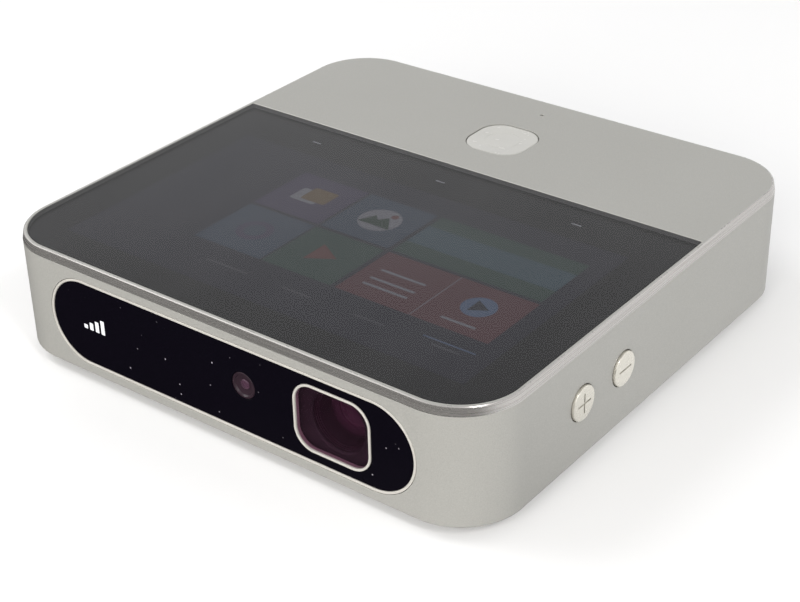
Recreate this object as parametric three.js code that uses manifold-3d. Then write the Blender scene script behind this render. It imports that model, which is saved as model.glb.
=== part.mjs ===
// A pocket projector that is also a mobile hotspot, as an assembly of separate solids.
// Millimetres, +Z up. The origin lies on the surface the object stands on, under the middle of its body.
// The lens looks along -Y, the volume buttons are in the +X wall, the sockets in the +Y wall.

import * as THREE from "three";
import { mergeVertices } from "three/addons/utils/BufferGeometryUtils.js";
import Module from "manifold-3d";

// ---- Driving dimensions ----

const BODY = { width: 134, depth: 131, bottom: 2.6, top: 31, corner: 15, wall: 2.4, deck: 2.2 };
const SOFT_EDGE = 0.5; // the chamfer round the body's lower edge
const BEVEL = { drop: 2.1, inset: 0.45 }; // the steep band under the rim
const RIM = { inset: 0.85, land: 1.28 }; // the polished edge, and where the glass starts
const LIP = { width: 6.3, thickness: 1.4 }; // the shell's turned-in lower edge

const GLASS = { rear: 21.35, thickness: 1.0, gap: 0.1, recess: 1.1, ledge: 2.7 };
const OPENING_CORNER = 8; // the corners of the opening under the glass
const PANEL = { width: 116, front: -57.5, rear: 11, bottom: 27, top: 29.7 };
const FRAME = { bottom: 25.4, top: 26.6, width: 125, depth: 122, corner: 10, y: 0.5 };

const WINDOW = { x: 0.8, z: 15.85, width: 101.2, height: 20.5, rim: 0.6, ledge: 1.6 };
const PANE = { sunk: 0.2, back: 1.4, recess: 1.5 }; // depths behind the front face
const LENS = { x: 30.7, z: 15.97, width: 20, height: 16.4, corner: 5, rim: 0.55, barrel: 7.4, bore: 6.3 };
const CAMERA = { x: 7.05, z: 16.97, radius: 3.1 };

const POWER = { y: 39.85, size: 16.3, corner: 6, gap: 0.2, recess: 0.1, flange: 1 };
const POWER_RING = { inner: 4.1, outer: 4.6, depth: 0.15 }; // the groove round the cap's middle
const VOLUME = { up: -29.2, down: -13.2, z: 16.5, radius: 4, gap: 0.2, proud: 0.6, flange: 1 };
const MARK = { long: 4.8, thick: 0.5, depth: 0.25 }; // the bars of + and -
const MICROPHONE_HOLE = { y: 57.6, radius: 0.45 };

const PLATE = { bottom: 1.0, flange: 2.5, top: 3.9, inset: 5, plug: 6.6 };
const FOOT = { x: 46, y: 44, radius: 5.5, height: 1.0 };
const SCREW = { head: 2.2, headHeight: 0.9, shank: 1.2, gap: 0.1, offset: 7, top: 8.5 };
const BOSS = { radius: 3, top: 11 };
const STAND = { width: 42, hingeY: -52, hingeZ: 2, tip: -28, half: 0.9, pin: 0.5, gap: 0.3 };
const TRIPOD = { y: 2, bore: 2.6, outer: 5, top: 8 };

const BOARD = { bottom: 11.7, top: 12.9, front: 8, rear: 60.5, halfWidth: 61, corner: 8 };
const BATTERY = { x: -15, y: 34.8, width: 72, depth: 49, bottom: 4.3, top: 11.2, corner: 2 };
const ENGINE = { left: 8, right: 56, front: -44, back: 4, low: 4.6, high: 25 };
const PIPE = { radius: 1.6, left: -60, right: 3.6, y: -30, back: -1, z: 18, bend: 7 };
const FAN = { x: -29, y: -17, size: 38, bottom: 5, top: 16, bore: 17, intake: 13, shaft: 1, blades: 9 };
const GRILLE = { thickness: 1.9, bar: 1.2, slot: 1.4, border: 1.4 };
const VENT = { low: 6, high: 15.6 }; // the heights of both openings in the -X wall
const FINS = { left: -62.5, right: -49, pitch: 2.6, count: 12 };
const EXHAUST = { front: -33, back: -1 };
const SPEAKER_OPENING = { front: -50.5, back: -38.5 };
const SPEAKER = { z: 10.8, cone: 4.6, dish: 3.8 };

const HDMI = { x: 22, z: 15.9, width: 15, height: 5.6, corner: 0.8, shell: 0.5 };
const USB = { x: 0, z: 16.1, width: 13.2, height: 6, corner: 0.6, shell: 0.5 };
const DC = { x: 46, z: 17.2, mouth: 3.9, bore: 2.9, pin: 0.9 };
const AUDIO = { x: -18, z: 16.2, mouth: 2.9, bore: 1.8 };
const SOCKET = { gap: 0.2, recess: 0.5, depth: 11.5 };
const DOOR = { x: -38.2, width: 27, low: 12.6, high: 18.8, half: 0.8, pin: 0.35, gap: 0.3, corner: 0.8 };

const RUNNING = 0.05; // radial clearance of a pin that turns
const BEYOND = 1; // how far a cutter reaches past what it cuts
const CORNER_DETAIL = 4; // eight steps round each corner of the body

const REAR = BODY.depth / 2;
const FRONT = -REAR;
const SIDE = BODY.width / 2;
const ROOF = BODY.top - BODY.deck; // the underside of the deck
const MOUTH = REAR - SOCKET.recess; // the plane of the sockets' mouths
const DOOR_HINGE = { y: REAR - DOOR.half, z: DOOR.low + DOOR.half };

// ---- Solids ----

const wasm = await Module();
wasm.setup();

// A closed three.js geometry as a solid that can be joined and cut.
function solid(geometry) {
  const bare = geometry.clone();
  bare.deleteAttribute("normal");
  bare.deleteAttribute("uv");
  const merged = mergeVertices(bare, 1e-4);
  return new wasm.Manifold(
    new wasm.Mesh({
      numProp: 3,
      vertProperties: merged.attributes.position.array,
      triVerts: new Uint32Array(merged.index.array),
    }),
  );
}

function geometryOf(body) {
  const mesh = body.getMesh();
  return new THREE.BufferGeometry()
    .setAttribute("position", new THREE.BufferAttribute(mesh.vertProperties, 3))
    .setIndex(new THREE.BufferAttribute(mesh.triVerts, 1));
}

const join = (first, ...others) => others.reduce((sum, other) => sum.add(other), first);
const cut = (body, ...tools) => tools.reduce((rest, tool) => rest.subtract(tool), body);

// ---- Outlines ----

function roundedRectangle(width, height, radius, x = 0, y = 0) {
  const right = x + width / 2 - radius;
  const left = x - width / 2 + radius;
  const high = y + height / 2 - radius;
  const low = y - height / 2 + radius;
  const shape = new THREE.Shape();
  shape.absarc(right, low, radius, -Math.PI / 2, 0);
  shape.absarc(right, high, radius, 0, Math.PI / 2);
  shape.absarc(left, high, radius, Math.PI / 2, Math.PI);
  shape.absarc(left, low, radius, Math.PI, 1.5 * Math.PI);
  return shape;
}

function rectangle(width, height, x = 0, y = 0) {
  return polygon([
    [x - width / 2, y - height / 2],
    [x + width / 2, y - height / 2],
    [x + width / 2, y + height / 2],
    [x - width / 2, y + height / 2],
  ]);
}

function polygon(points) {
  return new THREE.Shape(points.map(([x, y]) => new THREE.Vector2(x, y)));
}

function circle(radius, x = 0, y = 0) {
  return new THREE.Shape().absarc(x, y, radius, 0, 2 * Math.PI);
}

// A long shape whose ends are half circles.
function stadium(width, height, x = 0, y = 0) {
  const almostHalf = height / 2 - 0.02;
  return roundedRectangle(width, height, almostHalf, x, y);
}

// The body's own outline, moved inwards.
function outline(inset) {
  return roundedRectangle(BODY.width - 2 * inset, BODY.depth - 2 * inset, BODY.corner - inset);
}

// ---- Prisms: an outline swept along one axis ----

function extrusion(shape, length, detail) {
  return new THREE.ExtrudeGeometry(shape, { depth: length, bevelEnabled: false, curveSegments: detail });
}

// The outline lies in X and Y, and is swept from low to high along Z.
function upright(shape, low, high, detail = 4) {
  return solid(extrusion(shape, high - low, detail).translate(0, 0, low));
}

// The outline lies in X and Z, and is swept from front to back along Y.
function lengthwise(shape, front, back, detail = 4) {
  return solid(
    extrusion(shape, back - front, detail)
      .rotateX(Math.PI / 2)
      .translate(0, back, 0),
  );
}

// The outline lies in Y and Z, and is swept from left to right along X.
function crosswise(shape, left, right, detail = 4) {
  const turn = new THREE.Matrix4().makeBasis(
    new THREE.Vector3(0, 1, 0),
    new THREE.Vector3(0, 0, 1),
    new THREE.Vector3(1, 0, 0),
  );
  return solid(
    extrusion(shape, right - left, detail)
      .applyMatrix4(turn)
      .translate(left, 0, 0),
  );
}

function block(left, right, front, back, low, high) {
  return upright(rectangle(right - left, back - front, (left + right) / 2, (front + back) / 2), low, high);
}

// A profile of [radius, height] points, from the axis round to the axis, turned about Y.
function lathe(profile, segments) {
  return new THREE.LatheGeometry(
    profile.map(([radius, height]) => new THREE.Vector2(radius, height)),
    segments,
  );
}

// The same profile, turned about Z.
function turned(profile, segments) {
  return solid(lathe(profile, segments).rotateX(Math.PI / 2));
}

// The body's outline as a block whose upper and lower edges are cut back by inset over drop.
function bevelledBlock(margin, low, high, drop, inset) {
  const geometry = new THREE.ExtrudeGeometry(outline(margin), {
    depth: high - low - 2 * drop,
    bevelThickness: drop,
    bevelSize: inset,
    bevelOffset: -inset,
    bevelSegments: 1,
    curveSegments: CORNER_DETAIL,
  });
  return solid(geometry.translate(0, 0, low + drop));
}

// ---- The shell ----

function mainHousing() {
  const depthBelow = 10; // the lower bevels of both blocks lie this far under the body, and are cut away
  const extend = 1.2; // the band's slope runs on past the top by this factor
  const banded = bevelledBlock(
    0,
    BODY.bottom - depthBelow,
    BODY.top + BEVEL.drop * (extend - 1),
    BEVEL.drop * extend,
    BEVEL.inset * extend,
  );
  const margin = -1; // the polished edge's slope starts outside the body
  const polish = RIM.inset - margin;
  const polished = bevelledBlock(margin, BODY.bottom - depthBelow, BODY.top, polish, polish);
  const softened = bevelledBlock(0, BODY.bottom, BODY.top + depthBelow, SOFT_EDGE, SOFT_EDGE);
  const outside = banded.intersect(polished).intersect(softened);

  const glassFront = roundedRectangle(
    BODY.width - 2 * RIM.land,
    BODY.depth - 2 * RIM.land,
    BODY.corner - RIM.land,
  );
  const ahead = rectangle(BODY.width, BODY.depth, 0, GLASS.rear - BODY.depth / 2);
  const recess = upright(glassFront, BODY.top - GLASS.recess, BODY.top + BEYOND, CORNER_DETAIL).intersect(
    upright(ahead, ROOF, BODY.top + 2 * BEYOND),
  );
  const openingFront = FRONT + RIM.land + GLASS.ledge;
  const openingRear = GLASS.rear - GLASS.ledge;
  const opening = upright(
    roundedRectangle(
      BODY.width - 2 * (RIM.land + GLASS.ledge),
      openingRear - openingFront,
      OPENING_CORNER,
      0,
      (openingFront + openingRear) / 2,
    ),
    ROOF - BEYOND,
    BODY.top,
  );
  const cavity = upright(outline(BODY.wall), BODY.bottom + LIP.thickness, ROOF, 3);
  const mouth = upright(outline(LIP.width), BODY.bottom - BEYOND, BODY.bottom + LIP.thickness + BEYOND, 3);
  const hollow = cut(outside, cavity, mouth, recess, opening);
  return cut(join(hollow, ...screwBosses()), ...wallOpenings(), ...bossHoles());
}

// Where the base screws stand: on the diagonals of the corner arcs.
function screwPlaces() {
  const along = SCREW.offset * Math.SQRT1_2;
  const x = SIDE - BODY.corner + along;
  const y = REAR - BODY.corner + along;
  return [
    [-x, -y],
    [x, -y],
    [x, y],
    [-x, y],
  ];
}

// Each boss is a post tied to the corner by a rib.
function screwBosses() {
  const foot = BODY.bottom + LIP.thickness;
  const sunk = 0.2; // the rib's foot lies this deep in the lip
  const low = foot - sunk;
  const ribStart = SCREW.offset;
  const ribEnd = BODY.corner - BODY.wall + 0.5;
  const ribSection = rectangle(ribEnd - ribStart, BOSS.radius, (ribEnd + ribStart) / 2);
  return screwPlaces().map(([x, y]) => {
    const rib = extrusion(ribSection, BOSS.top - low, 1)
      .rotateZ(Math.atan2(Math.sign(y), Math.sign(x)))
      .translate(Math.sign(x) * (SIDE - BODY.corner), Math.sign(y) * (REAR - BODY.corner), low);
    const post = upright(circle(BOSS.radius, x, y), foot, BOSS.top, 5);
    const clearOfPlate = upright(outline(LIP.width), low - BEYOND, foot);
    return cut(join(solid(rib), post), clearOfPlate);
  });
}

function bossHoles() {
  const radius = SCREW.shank + SCREW.gap;
  return screwPlaces().map(([x, y]) => upright(circle(radius, x, y), 0, SCREW.top + 0.5, 5));
}

function wallOpenings() {
  return [...frontAndTopOpenings(), ...rearOpenings(), ...sideOpenings()];
}

function frontAndTopOpenings() {
  const rim = WINDOW.rim + 0.1;
  const windowRecess = stadium(WINDOW.width + 2 * rim, WINDOW.height + 2 * rim, WINDOW.x, WINDOW.z);
  const behindWindow = stadium(
    WINDOW.width - 2 * WINDOW.ledge,
    WINDOW.height - 2 * WINDOW.ledge,
    WINDOW.x,
    WINDOW.z,
  );
  const powerHole = POWER.size + 2 * POWER.gap;
  const low = ROOF - BEYOND;
  const high = BODY.top + BEYOND;
  return [
    lengthwise(windowRecess, FRONT - BEYOND, FRONT + PANE.recess, 5),
    lengthwise(behindWindow, FRONT - BEYOND, FRONT + BODY.wall + BEYOND, 3),
    upright(roundedRectangle(powerHole, powerHole, POWER.corner, 0, POWER.y), low, high),
    upright(circle(MICROPHONE_HOLE.radius, 0, MICROPHONE_HOLE.y), low, high, 5),
  ];
}

function rearOpenings() {
  const inner = REAR - BODY.wall - 3;
  const outer = REAR + BEYOND;
  const flat = [HDMI, USB].map(({ x, z, width, height, corner }) => {
    const shape = roundedRectangle(width + 2 * SOCKET.gap, height + 2 * SOCKET.gap, corner, x, z);
    return lengthwise(shape, inner, outer, 2);
  });
  const round = [DC, AUDIO].map(({ x, z, mouth }) =>
    lengthwise(circle(mouth + SOCKET.gap, x, z), inner, outer, 8),
  );
  const doorway = roundedRectangle(
    DOOR.width + 2 * DOOR.gap,
    DOOR.high - DOOR.low + 2 * DOOR.gap,
    DOOR.corner,
    DOOR.x,
    (DOOR.high + DOOR.low) / 2,
  );
  const pinReach = DOOR.width / 2 + DOOR.gap + 1.3;
  const pinHole = circle(DOOR.pin + RUNNING, DOOR_HINGE.y, DOOR_HINGE.z);
  return [
    ...flat,
    ...round,
    lengthwise(doorway, inner, outer, 2),
    crosswise(pinHole, DOOR.x - pinReach, DOOR.x + pinReach, 4),
  ];
}

function sideOpenings() {
  const depth = 4; // deeper than the wall and the bevels together
  const buttons = [VOLUME.up, VOLUME.down].map((y) =>
    crosswise(circle(VOLUME.radius + VOLUME.gap, y, VOLUME.z), SIDE - depth, SIDE + BEYOND, 10),
  );
  const grilles = [EXHAUST, SPEAKER_OPENING].map(({ front, back }) =>
    crosswise(grilleOutline(front, back, 0.1), -SIDE - BEYOND, -SIDE + depth, 3),
  );
  return [...buttons, ...grilles];
}

// ---- The screen ----

function coverGlass() {
  const inset = RIM.land + GLASS.gap;
  const full = roundedRectangle(BODY.width - 2 * inset, BODY.depth - 2 * inset, BODY.corner - inset);
  const rear = GLASS.rear - GLASS.gap;
  const ahead = rectangle(BODY.width, BODY.depth, 0, rear - BODY.depth / 2);
  const low = BODY.top - GLASS.recess + 0.05;
  const whole = upright(full, low, low + GLASS.thickness, CORNER_DETAIL);
  return whole.intersect(upright(ahead, low - BEYOND, BODY.top + BEYOND));
}

function displayPanel() {
  return block(-PANEL.width / 2, PANEL.width / 2, PANEL.front, PANEL.rear, PANEL.bottom, PANEL.top);
}

function midFrame() {
  const low = FRAME.bottom - BEYOND;
  const high = FRAME.top + BEYOND;
  const sheet = roundedRectangle(FRAME.width, FRAME.depth, FRAME.corner, 0, FRAME.y);
  const switchHalf = 9;
  const lightening = { x: 34, half: 14, front: 28, back: 52 };
  const holes = [-1, 1].map((side) => {
    const x = side * lightening.x;
    return block(x - lightening.half, x + lightening.half, lightening.front, lightening.back, low, high);
  });
  const switchHole = block(-switchHalf, switchHalf, POWER.y - switchHalf, POWER.y + switchHalf, low, high);
  return cut(upright(sheet, FRAME.bottom, FRAME.top, 3), switchHole, ...holes);
}

// ---- The front window and what looks through it ----

function frontWindow() {
  const shape = stadium(WINDOW.width - 0.1, WINDOW.height - 0.1, WINDOW.x, WINDOW.z);
  const pane = lengthwise(shape, FRONT + PANE.sunk, FRONT + PANE.back, 5);
  const behind = FRONT + PANE.back + BEYOND;
  const cameraOpening = circle(CAMERA.radius + 0.1, CAMERA.x, CAMERA.z);
  return cut(
    pane,
    lengthwise(lensOutline(0.1), FRONT - BEYOND, behind, 4),
    lengthwise(cameraOpening, FRONT - BEYOND, behind, 12),
  );
}

function frontWindowRim() {
  const { x, z, width, height, rim } = WINDOW;
  const outer = stadium(width + 2 * rim, height + 2 * rim, x, z);
  const inner = stadium(width, height, x, z);
  const behind = FRONT + PANE.back;
  return cut(lengthwise(outer, FRONT, behind, 5), lengthwise(inner, FRONT - BEYOND, behind + BEYOND, 5));
}

// The lens opening's rounded square, grown or shrunk by a margin.
function lensOutline(margin) {
  return roundedRectangle(
    LENS.width + 2 * margin,
    LENS.height + 2 * margin,
    LENS.corner + margin,
    LENS.x,
    LENS.z,
  );
}

// A ring with a seat for its glass, and a narrower sight behind the seat.
function lensBezel() {
  const back = FRONT + 2.4;
  const seatWidth = 0.8;
  const ring = lengthwise(lensOutline(0), FRONT + 0.05, back);
  const seat = lengthwise(lensOutline(-LENS.rim), FRONT - BEYOND, FRONT + 1.3);
  const sight = lengthwise(lensOutline(-LENS.rim - seatWidth), FRONT, back + BEYOND);
  return cut(ring, seat, sight);
}

function lensCoverGlass() {
  return lengthwise(lensOutline(-LENS.rim - 0.1), FRONT + 0.3, FRONT + 1.2);
}

function lensBarrel() {
  const start = FRONT + 3;
  const boreDepth = 7;
  const ring = { front: -56, back: -50, proud: 0.8 };
  const tube = lengthwise(circle(LENS.barrel, LENS.x, LENS.z), start, ENGINE.front - 0.2, 10);
  const bore = lengthwise(circle(LENS.bore, LENS.x, LENS.z), start - BEYOND, start + boreDepth, 10);
  const focusRing = lengthwise(circle(LENS.barrel + ring.proud, LENS.x, LENS.z), ring.front, ring.back, 10);
  return join(cut(tube, bore), focusRing);
}

// A thick lens, domed to the front.
function projectionLens() {
  const radius = LENS.bore - 0.15;
  const edge = 1.6;
  const dome = 2.2;
  const back = FRONT + 9.5;
  const steps = 4;
  const profile = [
    [0, 0],
    [radius, 0],
  ];
  for (let step = 0; step <= steps; step++) {
    const part = step / steps;
    profile.push([radius * (1 - part), edge + dome * Math.sin((part * Math.PI) / 2)]);
  }
  return solid(lathe(profile, 20).rotateX(Math.PI).translate(LENS.x, back, LENS.z));
}

function cameraLens() {
  return lengthwise(circle(CAMERA.radius, CAMERA.x, CAMERA.z), FRONT + 0.35, FRONT + PANE.back, 12);
}

function cameraModule() {
  const { x, z } = CAMERA;
  const half = 4.5;
  const nose = lengthwise(circle(2.7, x, z), FRONT + 1.8, FRONT + 4.5, 10);
  return join(block(x - half, x + half, FRONT + 4, FRONT + 8, z - half, z + half), nose);
}

// ---- Buttons ----

// A cap with a hidden flange under the deck and a nub over its switch.
function powerButton() {
  const { y, size, corner, gap, recess, flange } = POWER;
  const top = BODY.top - recess;
  const flangeSize = size + 2 * flange;
  const cap = upright(roundedRectangle(size, size, corner - gap, 0, y), ROOF - 0.4, top, 4);
  const hidden = upright(roundedRectangle(flangeSize, flangeSize, corner, 0, y), ROOF - 0.9, ROOF - 0.1, 3);
  const nub = upright(circle(2, 0, y), FRAME.top + 0.75, ROOF - 0.5, 6);
  const groove = upright(circle(POWER_RING.outer, 0, y), top - POWER_RING.depth, top + BEYOND, 8);
  const island = upright(circle(POWER_RING.inner, 0, y), top - 2 * POWER_RING.depth, top, 8);
  return join(cut(join(cap, hidden, nub), groove), island);
}

function powerSwitch() {
  const half = 12;
  const { bottom, top } = FRAME;
  const board = block(-half, half, POWER.y - half, POWER.y + half, bottom - 1.2, bottom - 0.1);
  return join(board, upright(circle(2.6, 0, POWER.y), bottom - 0.5, top + 0.3, 8));
}

// A round side button with + or - cut into its face.
function volumeButton(y, bars) {
  const face = SIDE + VOLUME.proud;
  const inner = SIDE - BODY.wall;
  const cap = crosswise(circle(VOLUME.radius, y, VOLUME.z), inner - 0.4, face, 10);
  const flange = crosswise(circle(VOLUME.radius + VOLUME.flange, y, VOLUME.z), inner - 0.7, inner - 0.1, 6);
  const nub = crosswise(circle(1.5, y, VOLUME.z), inner - 1, inner - 0.5, 6);
  const almostRound = MARK.thick / 2 - 0.01;
  const marks = bars.map(([width, height]) => {
    const bar = roundedRectangle(width, height, almostRound, y, VOLUME.z);
    return crosswise(bar, face - MARK.depth, face + BEYOND, 1);
  });
  return cut(join(cap, flange, nub), ...marks);
}

const LEVEL_BAR = [MARK.long, MARK.thick];
const UPRIGHT_BAR = [MARK.thick, MARK.long];

function volumeSwitchBoard() {
  const board = block(60.4, 61.6, VOLUME.up - 8, VOLUME.down + 8, 9, 24);
  const half = 2.2;
  const contacts = [VOLUME.up, VOLUME.down].map((y) =>
    block(61, 63.2, y - half, y + half, VOLUME.z - half, VOLUME.z + half),
  );
  return join(board, ...contacts);
}

function microphone() {
  const { y } = MICROPHONE_HOLE;
  return block(-2, 2, y - 1.5, y + 1.5, FRAME.top, ROOF - 0.1);
}

// ---- The base ----

function basePlate() {
  const flange = upright(outline(PLATE.inset), PLATE.bottom, PLATE.flange, 3);
  const plug = upright(outline(PLATE.plug), PLATE.flange - 0.5, PLATE.top, 3);
  const socket = upright(circle(TRIPOD.outer + 2, 0, TRIPOD.y), PLATE.top - 0.5, TRIPOD.top, 8);
  const insertHole = upright(circle(TRIPOD.outer + 0.2, 0, TRIPOD.y), 0, TRIPOD.top + 1, 8);
  const whole = join(flange, plug, socket);
  return cut(whole, insertHole, ...standPocket(), ...screwSeats(), ...intakeSlots());
}

// The recess the stand folds into, its pin hole and the scoop for a fingertip.
function standPocket() {
  const half = STAND.width / 2 + STAND.gap;
  const front = STAND.hingeY - STAND.half - 0.5;
  const scoop = { half: 6, length: 4 };
  const pinHole = circle(STAND.pin + RUNNING, STAND.hingeY, STAND.hingeZ);
  const pinReach = half + 2.5;
  return [
    block(-half, half, front, STAND.tip + STAND.gap, 0, STAND.hingeZ + STAND.half + 0.1),
    block(-scoop.half, scoop.half, STAND.tip, STAND.tip + scoop.length, 0, STAND.hingeZ),
    crosswise(pinHole, -pinReach, pinReach, 5),
  ];
}

function screwSeats() {
  return screwPlaces().flatMap(([x, y]) => [
    upright(circle(SCREW.shank + SCREW.gap, x, y), 0, PLATE.top + BEYOND, 5),
    upright(circle(SCREW.head + 2 * SCREW.gap, x, y), 0, PLATE.bottom + SCREW.headHeight + 0.2, 5),
  ]);
}

function intakeSlots() {
  const slots = [];
  const pitch = 4;
  const slotWidth = 1.8;
  for (let row = -3; row <= 3; row++) {
    const reach = Math.sqrt(FAN.intake ** 2 - (row * pitch) ** 2);
    const slot = stadium(2 * reach, slotWidth, FAN.x, FAN.y + row * pitch);
    slots.push(upright(slot, 0, PLATE.top + BEYOND, 1));
  }
  return slots;
}

function foot(x, y) {
  const profile = [
    [0, 0],
    [FOOT.radius - 0.5, 0],
    [FOOT.radius, 0.4],
    [FOOT.radius, FOOT.height],
    [0, FOOT.height],
  ];
  return turned(profile, 16).translate([x, y, 0]);
}

function baseScrew(x, y) {
  const head = PLATE.bottom + 0.2;
  const shank = upright(circle(SCREW.shank, x, y), head, SCREW.top, 5);
  const cap = upright(circle(SCREW.head, x, y), head, head + SCREW.headHeight, 5);
  const driveSocket = upright(circle(1, x, y), 0, head + 0.5, 3);
  return cut(join(cap, shank), driveSocket);
}

// The stand at rest: a leg that reaches back from its hinge barrel.
function kickstand() {
  const { width, hingeY, hingeZ, tip, half: thin, pin } = STAND;
  const side = width / 2;
  const corner = 3;
  const length = tip - hingeY + corner;
  const leg = upright(
    roundedRectangle(width, length, corner, 0, tip - length / 2),
    hingeZ - thin,
    hingeZ + thin,
  );
  const behindHinge = block(-side - BEYOND, side + BEYOND, hingeY, tip + BEYOND, 0, hingeZ + 2 * thin);
  const barrel = crosswise(circle(thin, hingeY, hingeZ), -side, side, 8);
  const bore = crosswise(circle(pin + RUNNING, hingeY, hingeZ), -side - BEYOND, side + BEYOND, 5);
  return cut(join(leg.intersect(behindHinge), barrel), bore);
}

function kickstandPin() {
  const half = STAND.width / 2 + STAND.gap + 2.3;
  return crosswise(circle(STAND.pin, STAND.hingeY, STAND.hingeZ), -half, half, 5);
}

function tripodInsert() {
  const tube = upright(circle(TRIPOD.outer, 0, TRIPOD.y), PLATE.bottom + 0.1, TRIPOD.top, 8);
  const end = 1; // the blind end of the thread
  return cut(tube, upright(circle(TRIPOD.bore, 0, TRIPOD.y), 0, TRIPOD.top - end, 8));
}

// ---- Electronics ----

function mainBoard() {
  const { halfWidth, front, rear, bottom, top, corner } = BOARD;
  const sheet = roundedRectangle(2 * halfWidth, rear - front, corner, 0, (front + rear) / 2);
  const notch = { width: 8, depth: 10 }; // it clears the wires to the fan
  const cable = block(
    -halfWidth - BEYOND,
    -halfWidth + notch.width,
    front - BEYOND,
    front + notch.depth,
    bottom - BEYOND,
    top + BEYOND,
  );
  return cut(upright(sheet, bottom, top, 3), cable);
}

function battery() {
  const { width, depth, corner, x, y, bottom, top } = BATTERY;
  return upright(roundedRectangle(width, depth, corner, x, y), bottom, top, 2);
}

// A pressed cover over the chips on the board.
function shieldCan(left, right, front, back, height) {
  const top = BOARD.top + height;
  const border = 3;
  const cover = block(left, right, front, back, BOARD.top, top);
  const step = block(left + border, right - border, front + border, back - border, top - 0.1, top + 0.4);
  return join(cover, step);
}

function antenna(side) {
  const middle = side * 61.9;
  const half = 1.5;
  const bar = block(middle - half, middle + half, 12, 48, 14, 24);
  const notch = block(middle - half - BEYOND, middle + half + BEYOND, 22, 38, 16, 21);
  return cut(bar, notch);
}

// ---- Light and cooling ----

function opticalEngine() {
  const { left, right, front, back, low, high } = ENGINE;
  const body = block(left, right, front, back, low, high);
  const lampSide = block(left - 1, left + 14, back - 12, back + 1, 15, high + 1);
  const collar = lengthwise(circle(LENS.barrel + 2, LENS.x, LENS.z), front, front + 4, 12);
  const lighter = block(left + 18, right + 1, front - 1, front + 14, 24, high + 1);
  return join(cut(body, lampSide, lighter), collar);
}

// A spreader plate against the optical engine, with fins along its upper edge.
function lampHeatSink() {
  const plate = block(5.4, 7.7, -42, 2, 8.5, 24.6);
  const fins = [];
  for (let index = 0; index < 6; index++) {
    const y = -40 + index * 8;
    fins.push(block(0.5, 6, y, y + 1, 20.5, 24.6));
  }
  return join(plate, ...fins);
}

// It runs over the exhaust fins and the fan, then along the spreader plate.
function heatPipe() {
  const { radius, left, right, y, back, z, bend } = PIPE;
  const start = new THREE.Vector3(left, y, z);
  const bendStart = new THREE.Vector3(right - bend, y, z);
  const bendCorner = new THREE.Vector3(right, y, z);
  const bendEnd = new THREE.Vector3(right, y + bend, z);
  const end = new THREE.Vector3(right, back, z);
  const path = new THREE.CurvePath();
  path.add(new THREE.LineCurve3(start, bendStart));
  path.add(new THREE.QuadraticBezierCurve3(bendStart, bendCorner, bendEnd));
  path.add(new THREE.LineCurve3(bendEnd, end));
  const options = { extrudePath: path, steps: 18, curveSegments: 4, bevelEnabled: false };
  return solid(new THREE.ExtrudeGeometry(circle(radius), options));
}

// A comb of thin plates hanging from one sheet.
function exhaustFins() {
  const span = (FINS.count - 1) * FINS.pitch;
  const front = FAN.y - span / 2;
  const half = 0.35;
  const sheet = block(FINS.left, FINS.right, front - half, front + span + half, FAN.top - 1, FAN.top);
  const plates = [];
  for (let index = 0; index < FINS.count; index++) {
    const y = front + index * FINS.pitch;
    plates.push(block(FINS.left, FINS.right, y - half, y + half, FAN.bottom, FAN.top - 0.5));
  }
  return join(sheet, ...plates);
}

function fanHousing() {
  const half = FAN.size / 2;
  const wall = 1;
  const outletHalf = 14;
  const low = FAN.bottom + wall;
  const high = FAN.top - wall;
  const box = block(FAN.x - half, FAN.x + half, FAN.y - half, FAN.y + half, FAN.bottom, FAN.top);
  const scroll = upright(circle(FAN.bore, FAN.x, FAN.y), low, high, 12);
  const outlet = block(FAN.x - half - BEYOND, FAN.x, FAN.y - outletHalf, FAN.y + outletHalf, low, high);
  const intake = upright(circle(FAN.intake, FAN.x, FAN.y), FAN.bottom - BEYOND, low + BEYOND, 8);
  const shaftHole = upright(circle(FAN.shaft + RUNNING, FAN.x, FAN.y), high - BEYOND, FAN.top + BEYOND, 5);
  return cut(box, scroll, outlet, intake, shaftHole);
}

function fanShaft() {
  return upright(circle(FAN.shaft, FAN.x, FAN.y), FAN.bottom + 2, FAN.top, 5);
}

function fanRotor() {
  const low = FAN.bottom + 1.6;
  const high = FAN.top - 1.6;
  const blade = { inner: 6.35, outer: 15.65, thickness: 0.7 };
  const middle = (blade.inner + blade.outer) / 2;
  const bladeSection = rectangle(blade.outer - blade.inner, blade.thickness, middle);
  const hub = upright(circle(7, FAN.x, FAN.y), low, high, 8);
  const disc = upright(circle(FAN.bore - 1, FAN.x, FAN.y), high - 0.8, high, 10);
  const blades = [];
  for (let index = 0; index < FAN.blades; index++) {
    const made = extrusion(bladeSection, high - low - 0.4, 1)
      .rotateZ((index * 2 * Math.PI) / FAN.blades)
      .translate(FAN.x, FAN.y, low);
    blades.push(solid(made));
  }
  const bore = upright(circle(FAN.shaft + 2 * RUNNING, FAN.x, FAN.y), low - BEYOND, high + BEYOND, 5);
  return cut(join(hub, disc, ...blades), bore);
}

// ---- Grilles in the -X wall ----

function grilleOutline(front, back, margin) {
  return roundedRectangle(
    back - front + 2 * margin,
    VENT.high - VENT.low + 2 * margin,
    1.5,
    (front + back) / 2,
    (VENT.low + VENT.high) / 2,
  );
}

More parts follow.
